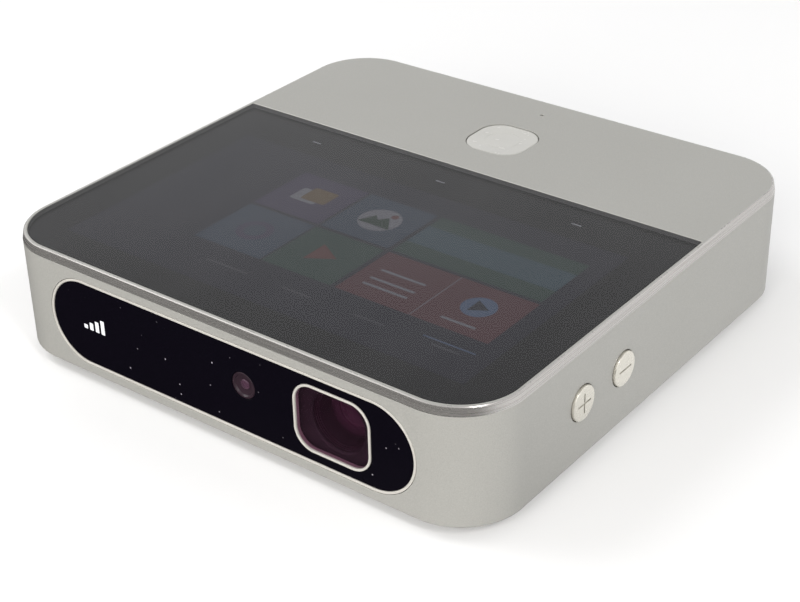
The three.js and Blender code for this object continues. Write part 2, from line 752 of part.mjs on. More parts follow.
function grille({ front, back }) {
  const outer = -SIDE + 0.05;
  const panel = crosswise(grilleOutline(front, back, 0), outer, outer + GRILLE.thickness, 3);
  const pitch = GRILLE.bar + GRILLE.slot;
  const count = Math.floor((back - front - 2 * GRILLE.border + GRILLE.bar) / pitch);
  const first = (front + back) / 2 - ((count - 1) * pitch) / 2;
  const height = VENT.high - VENT.low - 2 * GRILLE.border;
  const slots = [];
  for (let index = 0; index < count; index++) {
    const slot = rectangle(GRILLE.slot, height, first + index * pitch, (VENT.low + VENT.high) / 2);
    slots.push(crosswise(slot, outer - BEYOND, outer + GRILLE.thickness + BEYOND));
  }
  return cut(panel, ...slots);
}

function speaker() {
  const { front, back } = SPEAKER_OPENING;
  const middle = (front + back) / 2;
  const box = block(-61, -50, front - 1, back + 1, 5, 16.5);
  const cone = crosswise(circle(SPEAKER.cone, middle, SPEAKER.z), -64, -60.5, 8);
  const dish = crosswise(circle(SPEAKER.dish, middle, SPEAKER.z), -65, -62.6, 8);
  return cut(join(box, cone), dish);
}

// ---- Sockets in the rear wall ----

// A pressed shell round a flat tongue, as in a data or picture socket.
function flatSocket({ x, z, width, height, shell }, tongue) {
  const front = MOUTH - SOCKET.depth;
  const side = width / 2;
  const thin = 0.8;
  const outer = lengthwise(roundedRectangle(width, height, 0.7, x, z), front, MOUTH, 2);
  const hollow = roundedRectangle(width - 2 * shell, height - 2 * shell, 0.4, x, z);
  const inner = lengthwise(hollow, front + 1.5, MOUTH + BEYOND, 2);
  const middle = z + tongue;
  const blade = block(x - side + 1.6, x + side - 1.6, front + 1, MOUTH - 1, middle - thin, middle + thin);
  const legs = block(x - side + 0.6, x + side - 0.6, front + 1, front + 6, BOARD.top, z - height / 2 + 0.2);
  return join(cut(outer, inner), blade, legs);
}

function dcJack() {
  const body = block(DC.x - 4.6, DC.x + 4.6, 50, 62.5, BOARD.top, DC.z + 4.4);
  const nose = lengthwise(circle(DC.mouth, DC.x, DC.z), 62, MOUTH, 10);
  const bore = lengthwise(circle(DC.bore, DC.x, DC.z), 53, MOUTH + 1, 10);
  const pin = lengthwise(circle(DC.pin, DC.x, DC.z), 52.5, MOUTH - 1, 5);
  return join(cut(join(body, nose), bore), pin);
}

function audioJack() {
  const body = block(AUDIO.x - 3.5, AUDIO.x + 3.5, 50.5, 62.5, BOARD.top, AUDIO.z + 2.9);
  const nose = lengthwise(circle(AUDIO.mouth, AUDIO.x, AUDIO.z), 62, MOUTH, 8);
  const bore = lengthwise(circle(AUDIO.bore, AUDIO.x, AUDIO.z), 52, MOUTH + 1, 8);
  return cut(join(body, nose), bore);
}

// Two card slots side by side, behind the door.
function cardReader() {
  const body = block(DOOR.x - 13, DOOR.x + 13, 44, 62.6, BOARD.top, BOARD.top + 3.4);
  const z = BOARD.top + 1.7;
  const simSlot = block(DOOR.x - 12, DOOR.x + 0.6, 47, 64, z - 0.5, z + 0.5);
  const memorySlot = block(DOOR.x + 1.6, DOOR.x + 12.6, 49, 64, z - 0.6, z + 0.6);
  return cut(body, simSlot, memorySlot);
}

// The door stands upright at rest on a round hinge edge.
function cardDoor() {
  const half = DOOR.width / 2;
  const panel = block(DOOR.x - half, DOOR.x + half, REAR - 2 * DOOR.half, REAR, DOOR_HINGE.z, DOOR.high);
  const hinge = crosswise(circle(DOOR.half, DOOR_HINGE.y, DOOR_HINGE.z), DOOR.x - half, DOOR.x + half, 8);
  const nailNotch = block(DOOR.x - 4, DOOR.x + 4, REAR - 0.7, REAR + 1, DOOR.high - 0.8, DOOR.high + 1);
  const bore = crosswise(circle(DOOR.pin + 0.05, DOOR_HINGE.y, DOOR_HINGE.z), DOOR.x - 20, DOOR.x + 20, 4);
  return cut(join(panel, hinge), nailNotch, bore);
}

function cardDoorPin() {
  const half = DOOR.width / 2 + DOOR.gap + 1.2;
  return crosswise(circle(DOOR.pin, DOOR_HINGE.y, DOOR_HINGE.z), DOOR.x - half, DOOR.x + half, 4);
}

// ---- The assembly ----

const FINISH = {
  silver: { color: 0xb8b5ad, roughness: 0.42, metalness: 0.7 },
  brightMetal: { color: 0xe0dccf, roughness: 0.25, metalness: 0.8 },
  blackGlass: { color: 0x0b0a0e, roughness: 0.08, metalness: 0 },
  lensGlass: { color: 0x2b1824, roughness: 0.04, metalness: 0 },
  button: { color: 0xe6e4da, roughness: 0.3, metalness: 0 },
  display: { color: 0x1c2028, roughness: 0.35, metalness: 0 },
  blackPlastic: { color: 0x1a1a1b, roughness: 0.6, metalness: 0 },
  greyPlastic: { color: 0x4a4b4e, roughness: 0.6, metalness: 0 },
  rubber: { color: 0x232323, roughness: 0.9, metalness: 0 },
  steel: { color: 0xa7a9ab, roughness: 0.35, metalness: 1 },
  brass: { color: 0xb08d4c, roughness: 0.35, metalness: 1 },
  aluminium: { color: 0xb4b7ba, roughness: 0.45, metalness: 0.9 },
  copper: { color: 0xb06b45, roughness: 0.35, metalness: 1 },
  circuitBoard: { color: 0x16432c, roughness: 0.55, metalness: 0 },
  batteryWrap: { color: 0x2c2f36, roughness: 0.5, metalness: 0 },
};

function piece(name, body, finish) {
  const mesh = new THREE.Mesh(geometryOf(body), new THREE.MeshStandardMaterial(finish));
  mesh.name = name;
  return mesh;
}

function group(...pieces) {
  const made = new THREE.Group();
  made.add(...pieces);
  return made;
}

const shell = group(
  piece("main_housing", mainHousing(), FINISH.silver),
  piece("cover_glass", coverGlass(), FINISH.blackGlass),
  piece("display_panel", displayPanel(), FINISH.display),
  piece("mid_frame", midFrame(), FINISH.aluminium),
  piece("exhaust_grille", grille(EXHAUST), FINISH.greyPlastic),
  piece("speaker_grille", grille(SPEAKER_OPENING), FINISH.greyPlastic),
);

const front = group(
  piece("front_window", frontWindow(), FINISH.blackGlass),
  piece("front_window_rim", frontWindowRim(), FINISH.brightMetal),
  piece("lens_bezel", lensBezel(), FINISH.brightMetal),
  piece("lens_cover_glass", lensCoverGlass(), FINISH.lensGlass),
  piece("lens_barrel", lensBarrel(), FINISH.blackPlastic),
  piece("projection_lens", projectionLens(), FINISH.lensGlass),
  piece("camera_lens", cameraLens(), FINISH.lensGlass),
  piece("camera_module", cameraModule(), FINISH.blackPlastic),
);

const controls = group(
  piece("power_button", powerButton(), FINISH.button),
  piece("power_switch", powerSwitch(), FINISH.circuitBoard),
  piece("volume_up_button", volumeButton(VOLUME.up, [LEVEL_BAR, UPRIGHT_BAR]), FINISH.brightMetal),
  piece("volume_down_button", volumeButton(VOLUME.down, [LEVEL_BAR]), FINISH.brightMetal),
  piece("volume_switch_board", volumeSwitchBoard(), FINISH.circuitBoard),
  piece("microphone", microphone(), FINISH.steel),
);

const CORNERS = ["front_left", "front_right", "rear_right", "rear_left"];
const FOOT_PLACES = [
  [-FOOT.x, -FOOT.y],
  [FOOT.x, -FOOT.y],
  [FOOT.x, FOOT.y],
  [-FOOT.x, FOOT.y],
];

const base = group(
  piece("base_plate", basePlate(), FINISH.blackPlastic),
  piece("kickstand", kickstand(), FINISH.aluminium),
  piece("kickstand_pin", kickstandPin(), FINISH.steel),
  piece("tripod_insert", tripodInsert(), FINISH.brass),
  ...CORNERS.map((corner, index) => piece("foot_" + corner, foot(...FOOT_PLACES[index]), FINISH.rubber)),
  ...CORNERS.map((corner, index) =>
    piece("base_screw_" + corner, baseScrew(...screwPlaces()[index]), FINISH.steel),
  ),
);

const electronics = group(
  piece("main_board", mainBoard(), FINISH.circuitBoard),
  piece("battery", battery(), FINISH.batteryWrap),
  piece("hotspot_module", shieldCan(-58, -24, 14, 40, 2.4), FINISH.steel),
  piece("processor_shield", shieldCan(-14, 24, 12, 42, 2), FINISH.steel),
  piece("antenna_left", antenna(-1), FINISH.greyPlastic),
  piece("antenna_right", antenna(1), FINISH.greyPlastic),
  piece("speaker", speaker(), FINISH.blackPlastic),
);

const cooling = group(
  piece("optical_engine", opticalEngine(), FINISH.greyPlastic),
  piece("lamp_heat_sink", lampHeatSink(), FINISH.aluminium),
  piece("heat_pipe", heatPipe(), FINISH.copper),
  piece("exhaust_fins", exhaustFins(), FINISH.aluminium),
  piece("fan_housing", fanHousing(), FINISH.blackPlastic),
  piece("fan_shaft", fanShaft(), FINISH.steel),
  piece("fan_rotor", fanRotor(), FINISH.blackPlastic),
);

const sockets = group(
  piece("hdmi_port", flatSocket(HDMI, 0), FINISH.steel),
  piece("usb_port", flatSocket(USB, 1.1), FINISH.steel),
  piece("dc_jack", dcJack(), FINISH.blackPlastic),
  piece("audio_jack", audioJack(), FINISH.blackPlastic),
  piece("card_reader", cardReader(), FINISH.steel),
  piece("card_door", cardDoor(), FINISH.silver),
  piece("card_door_pin", cardDoorPin(), FINISH.steel),
);

const projector = group(shell, front, controls, base, electronics, cooling, sockets);

export default projector;
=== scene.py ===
"""The looks of a pocket projector with a mobile hotspot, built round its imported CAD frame.

Metres, +Z up. The lens looks along -Y, the volume buttons face +X and the sockets face +Y.
"""

import math

import bmesh
import bpy
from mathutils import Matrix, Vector


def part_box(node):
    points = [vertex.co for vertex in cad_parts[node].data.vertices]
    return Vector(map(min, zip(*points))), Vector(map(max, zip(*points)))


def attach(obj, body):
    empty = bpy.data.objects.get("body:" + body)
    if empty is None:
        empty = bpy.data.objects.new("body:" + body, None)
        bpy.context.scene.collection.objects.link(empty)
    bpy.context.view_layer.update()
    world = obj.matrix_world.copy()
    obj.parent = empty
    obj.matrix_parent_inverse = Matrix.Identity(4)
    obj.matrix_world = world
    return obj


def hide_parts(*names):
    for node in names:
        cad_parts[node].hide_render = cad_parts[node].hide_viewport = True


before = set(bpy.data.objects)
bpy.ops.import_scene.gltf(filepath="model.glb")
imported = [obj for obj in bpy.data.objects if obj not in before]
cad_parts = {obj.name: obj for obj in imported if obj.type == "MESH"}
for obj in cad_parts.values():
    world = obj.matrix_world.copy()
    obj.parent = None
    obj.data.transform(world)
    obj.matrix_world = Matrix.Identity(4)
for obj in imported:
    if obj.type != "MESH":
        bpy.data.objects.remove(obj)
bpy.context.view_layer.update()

MM = 0.001
CORNER_STEPS = 20  # steps round a quarter of a large corner
CIRCLE_STEPS = 72
HAIRLINE = 0.1 * MM  # the gap that shows as a thin dark line between two fitted pieces

# ---- Driving dimensions that a box can't give ----

CORNER = 15 * MM  # the body's upright corners, seen from above
BAND_LOW = 2.1 * MM  # the steep band starts this far under the top
BAND_HIGH = 0.52 * MM  # and ends this far under it, at the polished edge
BAND_INSET = 0.34 * MM
EDGE_INSET = 0.85 * MM  # the polished edge ends here, on the top
WALL = 2.4 * MM  # the side walls
DECK = 2.2 * MM  # the thickness of the top
LIP = 6.3 * MM  # how far the housing's lower lip reaches in
LIP_THICKNESS = 1.4 * MM
FLANGE = 1 * MM  # how far a button's hidden flange stands out
BEYOND = 1 * MM  # how far a cutter reaches past what it cuts
GLASS_RECESS = 1.1 * MM
ACTIVE = (110.8 * MM, 62.2 * MM)  # the picture's width and height
ACTIVE_FRONT = -54.4 * MM  # its front edge
LENS_CORNER = 5 * MM
BUTTON_CORNER = 6 * MM


# ---- Places ----


class Plane:
    """A working frame on the object: an origin, and unit vectors across it, up it and out of it."""

    def __init__(self, origin, across, up):
        self.origin = Vector(origin)
        self.across = Vector(across)
        self.up = Vector(up)
        self.out = self.across.cross(self.up)

    def point(self, u, v, w):
        return self.origin + u * self.across + v * self.up + w * self.out


def facing(across, up):
    """A maker of planes for one side, whose viewer has these directions to the right and up."""

    def plane_at(x, y, z):
        return Plane((x, y, z), across, up)

    return plane_at


facing_up = facing((1, 0, 0), (0, 1, 0))
facing_down = facing((1, 0, 0), (0, -1, 0))
facing_front = facing((1, 0, 0), (0, 0, 1))
facing_rear = facing((-1, 0, 0), (0, 0, 1))
facing_right = facing((0, 1, 0), (0, 0, 1))
facing_left = facing((0, -1, 0), (0, 0, 1))
ORIGIN = facing_up(0, 0, 0)


class Box:
    """A CAD node's box at rest."""

    def __init__(self, node):
        self.low, self.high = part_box(node)
        self.centre = (self.low + self.high) / 2
        self.size = self.high - self.low


# ---- Outlines: functions of an inset that return points round a shape ----


def rounded_box(width, height, radii, steps=CORNER_STEPS, centre=(0, 0)):
    """A rectangle with a radius for each corner: right low, right high, left high, left low."""
    if not hasattr(radii, "__len__"):
        radii = [radii] * 4
    signs = ((1, -1), (1, 1), (-1, 1), (-1, -1))

    def points(inset=0.0):
        found = []
        for quarter, ((across, up), radius) in enumerate(zip(signs, radii)):
            turn = max(radius - inset, 0.02 * MM)
            cu = centre[0] + across * (width / 2 - inset - turn)
            cv = centre[1] + up * (height / 2 - inset - turn)
            for step in range(steps + 1):
                angle = (quarter - 1 + step / steps) * math.pi / 2
                found.append((cu + turn * math.cos(angle), cv + turn * math.sin(angle)))
        return found

    return points


def disc(radius, steps=CIRCLE_STEPS, centre=(0, 0)):
    def points(inset=0.0):
        found = []
        for step in range(steps):
            angle = 2 * math.pi * step / steps
            r = max(radius - inset, 0)
            found.append((centre[0] + r * math.cos(angle), centre[1] + r * math.sin(angle)))
        return found

    return points


def polygon(corners):
    def points(inset=0.0):
        return list(corners)

    return points


# ---- Profiles: lists of (inset, height) from one end of a piece to the other ----


def arc(inset, height, radius, start, end, steps=4):
    """Points of a quarter or part of a circle about (inset, height), angles in degrees."""
    found = []
    for step in range(steps + 1):
        angle = math.radians(start + (end - start) * step / steps)
        found.append((inset + radius * math.cos(angle), height + radius * math.sin(angle)))
    return found


def slab_profile(low, high, under=0.0, over=0.0, steps=4):
    """Straight sides, with rounded edges of these radii under and over."""
    lower = arc(under, low + under, under, 270, 180, steps) if under else [(0, low)]
    upper = arc(over, high - over, over, 180, 90, steps) if over else [(0, high)]
    return lower + upper


def cutter_profile(depth, chamfer=0.0):
    """A hole down to depth under a surface at height 0, flared by a chamfer at that surface."""
    clear = 2 * MM
    if not chamfer:
        return [(0, -depth), (0, clear)]
    return [(0, -depth), (0, -chamfer), (-chamfer, 0), (-chamfer, clear)]


# ---- Meshes ----

TOUCHING = 1e-7  # points closer than this are one point


def as_object(name, built, materials):
    mesh = bpy.data.meshes.new(name)
    built.to_mesh(mesh)
    built.free()
    for material in materials:
        mesh.materials.append(material)
    made = bpy.data.objects.new(name, mesh)
    bpy.context.scene.collection.objects.link(made)
    return made


def solid(name, plane, outline, profile, *materials, closed=False, bands=None):
    """A surface through one loop per profile point, capped at its ends or closed on itself.

    bands gives each strip's material, as its place among the materials.
    """
    built = bmesh.new()
    rows = []
    for inset, height in profile:
        rows.append([built.verts.new(plane.point(u, v, height)) for u, v in outline(inset)])
    pairs = list(zip(rows, rows[1:]))
    if closed:
        pairs.append((rows[-1], rows[0]))
    for strip, (low, high) in enumerate(pairs):
        for i in range(len(low)):
            j = (i + 1) % len(low)
            face = built.faces.new((low[i], low[j], high[j], high[i]))
            face.material_index = bands[strip] if bands else 0
    if not closed:
        built.faces.new(list(reversed(rows[0])))
        built.faces.new(rows[-1])
    bmesh.ops.remove_doubles(built, verts=built.verts, dist=TOUCHING)
    bmesh.ops.recalc_face_normals(built, faces=built.faces)
    return as_object(name, built, materials)


def turned(name, plane, profile, *materials, steps=CIRCLE_STEPS):
    """A profile of (radius, height) turned about the plane's own axis."""
    reach = max(radius for radius, _ in profile)
    insets = [(reach - radius, height) for radius, height in profile]
    return solid(name, plane, disc(reach, steps), insets, *materials)


def baked(target):
    """The target with its modifiers applied."""
    ready = target.evaluated_get(bpy.context.evaluated_depsgraph_get())
    mesh = bpy.data.meshes.new_from_object(ready)
    target.modifiers.clear()
    old = target.data
    target.data = mesh
    bpy.data.meshes.remove(old)
    return target


def discard(thing):
    mesh = thing.data
    bpy.data.objects.remove(thing)
    bpy.data.meshes.remove(mesh)


def combine(target, others, operation="DIFFERENCE"):
    """Cuts the others out of the target, or joins them to it, and removes them.

    One that has no material takes the target's first.
    """
    for other in others:
        if not other.data.materials:
            other.data.materials.append(target.data.materials[0])
        change = target.modifiers.new("change", "BOOLEAN")
        change.operation = operation
        change.solver = "EXACT"
        change.material_mode = "TRANSFER"
        change.object = other
    baked(target)
    for other in others:
        discard(other)
    return target


def merged(name, parts):
    """One object made of several that need no boolean, with their materials kept apart."""
    built = bmesh.new()
    materials = []
    for part in parts:
        start = len(built.faces)
        built.from_mesh(part.data)
        built.faces.ensure_lookup_table()
        for material in part.data.materials:
            if material not in materials:
                materials.append(material)
        places = [materials.index(material) for material in part.data.materials]
        for face in built.faces[start:]:
            face.material_index = places[face.material_index]
        discard(part)
    return as_object(name, built, materials)


def placed(thing, body="body", replaces=(), sharp=25):
    """Smooth shading with sharp edges, then the piece's body, and the CAD nodes it stands for hidden."""
    tidy = bmesh.new()
    tidy.from_mesh(thing.data)
    bmesh.ops.dissolve_degenerate(tidy, edges=tidy.edges, dist=TOUCHING)
    tidy.to_mesh(thing.data)
    tidy.free()
    thing.data.shade_smooth()
    thing.data.set_sharp_from_angle(angle=math.radians(sharp))
    weighting = thing.modifiers.new("weighted normals", "WEIGHTED_NORMAL")
    weighting.keep_sharp = True
    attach(thing, body)
    if replaces:
        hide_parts(*replaces)
    return thing


# ---- Materials ----


class Finish:
    """A material's node tree, with short calls for the patterns used here."""

    COLOUR_SPAN = (0.35, 0.65)  # the values of a noise between which the colour changes
    ROUGHNESS_SPAN = (0.3, 0.7)
    MIX_FIRST, MIX_SECOND, MIX_RESULT = 6, 7, 2  # places of a Mix node's colour sockets

    def __init__(self, name, colour, roughness, metallic=0.0, **sockets):
        self.material = bpy.data.materials.new(name)
        self.material.use_nodes = True
        self.tree = self.material.node_tree
        self.shader = self.tree.nodes["Principled BSDF"]
        self.output = self.tree.nodes["Material Output"]
        self.set("Base Color", (*colour, 1))
        self.set("Roughness", roughness)
        self.set("Metallic", metallic)
        for socket, value in sockets.items():
            self.set(socket.replace("_", " "), value)
        self.place = self.tree.nodes.new("ShaderNodeTexCoord").outputs["Object"]

    def set(self, socket, value):
        self.shader.inputs[socket].default_value = value

    def link(self, source, target):
        self.tree.links.new(source, target)

    def node(self, kind, **properties):
        made = self.tree.nodes.new(kind)
        for key, value in properties.items():
            setattr(made, key, value)
        return made

    def stretched(self, scale):
        """The piece's own coordinates, multiplied axis by axis."""
        mapping = self.node("ShaderNodeMapping")
        mapping.inputs["Scale"].default_value = scale
        self.link(self.place, mapping.inputs["Vector"])
        return mapping.outputs["Vector"]

    def noise(self, scale, detail=2.0, stretch=None, roughness=0.5):
        made = self.node("ShaderNodeTexNoise")
        made.inputs["Scale"].default_value = scale
        made.inputs["Detail"].default_value = detail
        made.inputs["Roughness"].default_value = roughness
        self.link(self.stretched(stretch) if stretch else self.place, made.inputs["Vector"])
        return made.outputs["Fac"]

    def range(self, source, low, high, to_low, to_high):
        made = self.node("ShaderNodeMapRange")
        for socket, value in (("From Min", low), ("From Max", high), ("To Min", to_low), ("To Max", to_high)):
            made.inputs[socket].default_value = value
        self.link(source, made.inputs["Value"])
        return made.outputs["Result"]

    def blend(self, factor, first, second):
        made = self.node("ShaderNodeMix", data_type="RGBA")
        self.link(factor, made.inputs["Factor"])
        made.inputs[self.MIX_FIRST].default_value = (*first, 1)
        made.inputs[self.MIX_SECOND].default_value = (*second, 1)
        return made.outputs[self.MIX_RESULT]

    def vary_colour(self, pattern, first, second):
        factor = self.range(pattern, *self.COLOUR_SPAN, 0, 1)
        self.link(self.blend(factor, first, second), self.shader.inputs["Base Color"])

    def vary_roughness(self, pattern, low, high):
        self.link(self.range(pattern, *self.ROUGHNESS_SPAN, low, high), self.shader.inputs["Roughness"])

    def bump(self, pattern, height, strength):
        made = self.node("ShaderNodeBump")
        made.inputs["Strength"].default_value = strength
        made.inputs["Distance"].default_value = height
        self.link(pattern, made.inputs["Height"])
        self.link(made.outputs["Normal"], self.shader.inputs["Normal"])


def shade(colour, factor):
    return tuple(channel * factor for channel in colour)


def grained(
    name, tone, roughness, metallic, scale, tones,
    detail=3, stretch=None, gloss=None, gloss_scale=0, bump=None, **sockets
):
    """A material whose colour follows a noise, between two factors of its tone.

    gloss is the span of its roughness, which follows the same noise, or a second one if gloss_scale
    is given. bump is the height and the strength of its relief.
    """
    finish = Finish(name, tone, roughness, metallic, **sockets)
    grain = finish.noise(scale, detail, stretch)
    finish.vary_colour(grain, *(shade(tone, factor) for factor in tones))
    if gloss:
        finish.vary_roughness(finish.noise(gloss_scale) if gloss_scale else grain, *gloss)
    if bump:
        finish.bump(grain, *bump)
    return finish.material


def black_gloss():
    """The front window: near-black with a violet cast, and specks of dust on it."""
    tone = (0.0025, 0.002, 0.004)
    dust_tone = (0.3, 0.28, 0.32)
    finish = Finish("black_gloss", tone, 0.08, 0.0, Specular_IOR_Level=0.04)
    dust = finish.node("ShaderNodeTexVoronoi")
    dust.inputs["Scale"].default_value = 420
    finish.link(finish.place, dust.inputs["Vector"])
    near = finish.range(dust.outputs["Distance"], 0.05, 0.1, 1, 0)
    some = finish.range(finish.noise(230, detail=1), 0.5, 0.56, 0, 1)
    speck = finish.node("ShaderNodeMath", operation="MULTIPLY")
    finish.link(near, speck.inputs[0])
    finish.link(some, speck.inputs[1])
    finish.link(finish.blend(speck.outputs["Value"], tone, dust_tone), finish.shader.inputs["Base Color"])
    finish.vary_roughness(finish.noise(60, detail=4), 0.05, 0.13)
    return finish.material


def clear_pane(name, tint, film_tone, film, gloss_level):
    """A thin clear pane: it tints what lies behind it, mirrors by angle and carries a streaky film."""
    facing_power = 5
    least_mirrored = 0.04
    finish = Finish(name, film_tone, 0.4, 0.0, Specular_IOR_Level=0.0)
    through = finish.node("ShaderNodeBsdfTransparent")
    through.inputs["Color"].default_value = (*tint, 1)
    gloss = finish.node("ShaderNodeBsdfGlossy")
    gloss.inputs["Roughness"].default_value = 0.04
    gloss.inputs["Color"].default_value = (gloss_level, gloss_level, gloss_level, 1)
    edge_on = finish.node("ShaderNodeLayerWeight")
    edge_on.inputs["Blend"].default_value = 0.5
    steep = finish.node("ShaderNodeMath", operation="POWER")
    finish.link(edge_on.outputs["Facing"], steep.inputs[0])
    steep.inputs[1].default_value = facing_power
    mirrored = finish.node("ShaderNodeMixShader")
    finish.link(finish.range(steep.outputs["Value"], 0, 1, least_mirrored, 1), mirrored.inputs["Fac"])
    finish.link(through.outputs["BSDF"], mirrored.inputs[1])
    finish.link(gloss.outputs["BSDF"], mirrored.inputs[2])
    filmed = finish.node("ShaderNodeMixShader")
    streaks = finish.noise(45, detail=6, stretch=(1, 0.3, 1), roughness=0.6)
    finish.link(finish.range(streaks, 0.3, 0.7, 0.25 * film, film), filmed.inputs["Fac"])
    finish.link(mirrored.outputs["Shader"], filmed.inputs[1])
    finish.link(finish.shader.outputs["BSDF"], filmed.inputs[2])
    finish.link(filmed.outputs["Shader"], finish.output.inputs["Surface"])
    return finish.material


def coated_lens():
    """Plum-coated optical glass, dark inside."""
    finish = Finish("coated_lens", (0.05, 0.024, 0.038), 0.06, 0.0, Coat_Weight=1.0, Coat_Roughness=0.02)
    finish.set("Specular Tint", (1.0, 0.55, 0.8, 1))
    finish.vary_colour(finish.noise(120), (0.04, 0.018, 0.032), (0.056, 0.028, 0.045))
    return finish.material


def moulded(name, tone, roughness=0.55, depth=0.012):
    """Plastic with a fine moulded texture."""
    finish = Finish(name, tone, roughness, 0.0)
    texture = finish.noise(2600, detail=3)
    finish.vary_colour(finish.noise(60), shade(tone, 0.85), shade(tone, 1.15))
    finish.vary_roughness(texture, roughness - 0.06, roughness + 0.08)
    finish.bump(texture, depth * MM, 0.6)
    return finish.material


def printed(name, tone):
    """A thin coat of ink, a little uneven."""
    return grained(name, tone, 0.6, 0.0, 300, (0.92, 1.06), Specular_IOR_Level=0.2)


def metal(name, tone, roughness=0.3):
    """Plain metal with a fine grain."""
    gloss = (roughness - 0.07, roughness + 0.1)
    return grained(name, tone, roughness, 1.0, 900, (0.88, 1.1), gloss=gloss, bump=(0.003 * MM, 0.4))


def solder_mask():
    tone = (0.008, 0.06, 0.03)
    finish = Finish("solder_mask", tone, 0.35, 0.0)
    tracks = finish.node("ShaderNodeTexBrick")
    tracks.inputs["Scale"].default_value = 260
    finish.link(finish.place, tracks.inputs["Vector"])
    for socket, factor in (("Color1", 1), ("Color2", 1.25), ("Mortar", 1.9)):
        tracks.inputs[socket].default_value = (*shade(tone, factor), 1)
    finish.link(tracks.outputs["Color"], finish.shader.inputs["Base Color"])
    finish.vary_roughness(finish.noise(800), 0.3, 0.45)
    return finish.material


def glowing(name, tone):
    """A part of the picture on the screen: its own light, and a dim uneven surface."""
    finish = Finish(name, shade(tone, 0.2), 0.6, 0.0, Specular_IOR_Level=0.1)
    finish.set("Emission Color", (*tone, 1))
    finish.set("Emission Strength", 1.0)
    finish.vary_colour(finish.noise(160, detail=3), shade(tone, 0.15), shade(tone, 0.25))
    return finish.material


PAINT_GRAIN = (0.004 * MM, 0.5)

# Satin metallic paint, and round its top a steep band that is cut and finely brushed.
SILVER = grained(
    "silver_lacquer", (0.38, 0.376, 0.354), 0.42, 0.3, 5200, (0.93, 1.07),
    gloss=(0.4, 0.46), gloss_scale=28, bump=PAINT_GRAIN,
)
BAND = grained(
    "brushed_band", (0.57, 0.55, 0.53), 0.26, 0.85, 1, (0.92, 1.08),
    stretch=(30, 30, 4000), gloss=(0.24, 0.3),
)
# The fine bright edge above the band, and the fine rings round the windows.
POLISHED = grained("polished_edge", (0.46, 0.455, 0.44), 0.3, 0.5, 350, (0.94, 1), gloss=(0.24, 0.34))
TRIM = grained("trim_metal", (0.58, 0.56, 0.52), 0.36, 0.3, 3000, (0.95, 1.04), detail=2, gloss=(0.32, 0.42))
# The pale, slightly warm metal of the side buttons, and the milky plastic of the power button.
CHAMPAGNE = grained(
    "champagne_metal", (0.8, 0.77, 0.69), 0.3, 0.8, 4000, (0.95, 1.03),
    gloss=(0.24, 0.34), gloss_scale=300, bump=PAINT_GRAIN,
)
MILKY = grained(
    "milky_gloss", (0.46, 0.455, 0.43), 0.22, 0.0, 90, (0.97, 1.04),
    detail=2, gloss=(0.2, 0.28), gloss_scale=600, Coat_Weight=0.4, Coat_Roughness=0.12,
)
WINDOW = black_gloss()
SCREEN_GLASS = clear_pane("screen_glass", (0.62, 0.62, 0.64), (0.5, 0.5, 0.5), 0.02, 0.6)
LENS_GLASS = clear_pane("lens_glass", (0.8, 0.66, 0.75), (0.25, 0.14, 0.21), 0.02, 0.16)
LENS = coated_lens()
BLACK = moulded("black_plastic", (0.018, 0.018, 0.019))
GREY = moulded("grey_plastic", (0.09, 0.09, 0.095))
INK = printed("black_ink", (0.006, 0.006, 0.007))
RUBBER = grained(
    "foot_rubber", (0.02, 0.02, 0.021), 0.85, 0.0, 1500, (0.8, 1.5), detail=4, bump=(0.02 * MM, 0.6)
)
STEEL = metal("plated_steel", (0.55, 0.55, 0.56))
BRASS = metal("brass", (0.58, 0.44, 0.2))
CAST = metal("cast_aluminium", (0.5, 0.51, 0.52), 0.45)
COPPER = metal("copper", (0.6, 0.27, 0.15))
GOLD = metal("contact_gold", (0.75, 0.55, 0.22), 0.22)
BOARD = solder_mask()
WRAP = moulded("battery_wrap", (0.03, 0.035, 0.05), 0.4)
RING = moulded("lens_ring", (0.02, 0.01, 0.016), 0.4, depth=0.004)
MARK = metal("engraved_metal", (0.6, 0.58, 0.52), 0.5)
PRINT = printed("pale_print", (0.66, 0.67, 0.7))

# ---- The shell ----

BODY = Box("main_housing")
TOP = BODY.high.z
BOTTOM = BODY.low.z
FRONT_FACE = BODY.low.y
REAR_FACE = BODY.high.y
RIGHT_FACE = BODY.high.x
LEFT_FACE = BODY.low.x


def body_outline(inset=0.0):
    return rounded_box(BODY.size.x - 2 * inset, BODY.size.y - 2 * inset, CORNER - inset)


def glass_outline(gap):
    """The glass's outline, grown by a gap: the body's front corners, and a straight rear edge."""
    glass = Box("cover_glass")
    front_corner = CORNER - (RIGHT_FACE - glass.high.x)
    rear_corner = 0.35 * MM
    return rounded_box(
        glass.size.x + 2 * gap,
        glass.size.y + 2 * gap,
        (front_corner + gap, rear_corner + gap, rear_corner + gap, front_corner + gap),
        centre=(0, glass.centre.y),
    )


def stadium(node, gap):
    """The outline of a node in the front wall with round ends, grown by a gap."""
    box = Box(node)
    width = box.size.x + 2 * gap
    height = box.size.z + 2 * gap
    return rounded_box(width, height, height / 2, steps=28)


def front_plane(node):
    """A plane on the front face, at a node's middle."""
    box = Box(node)
    return facing_front(box.centre.x, FRONT_FACE, box.centre.z)


def lens_outline(margin):
    box = Box("lens_bezel")
    width = box.size.x + 2 * margin
    height = box.size.z + 2 * margin
    return rounded_box(width, height, LENS_CORNER + margin, steps=16)


ROUND_SOCKET_HEIGHT = {"dc_jack": 17.2 * MM, "audio_jack": 16.2 * MM}
FLAT_SOCKET_HEIGHT = {"hdmi_port": (15.9 * MM, 5.6 * MM), "usb_port": (16.1 * MM, 6 * MM)}


def socket_place(node):
    """The plane of the rear face at a flat socket's middle, and the socket's width and height."""
    box = Box(node)
    middle, height = FLAT_SOCKET_HEIGHT[node]
    return facing_rear(box.centre.x, REAR_FACE, middle), box.size.x, height


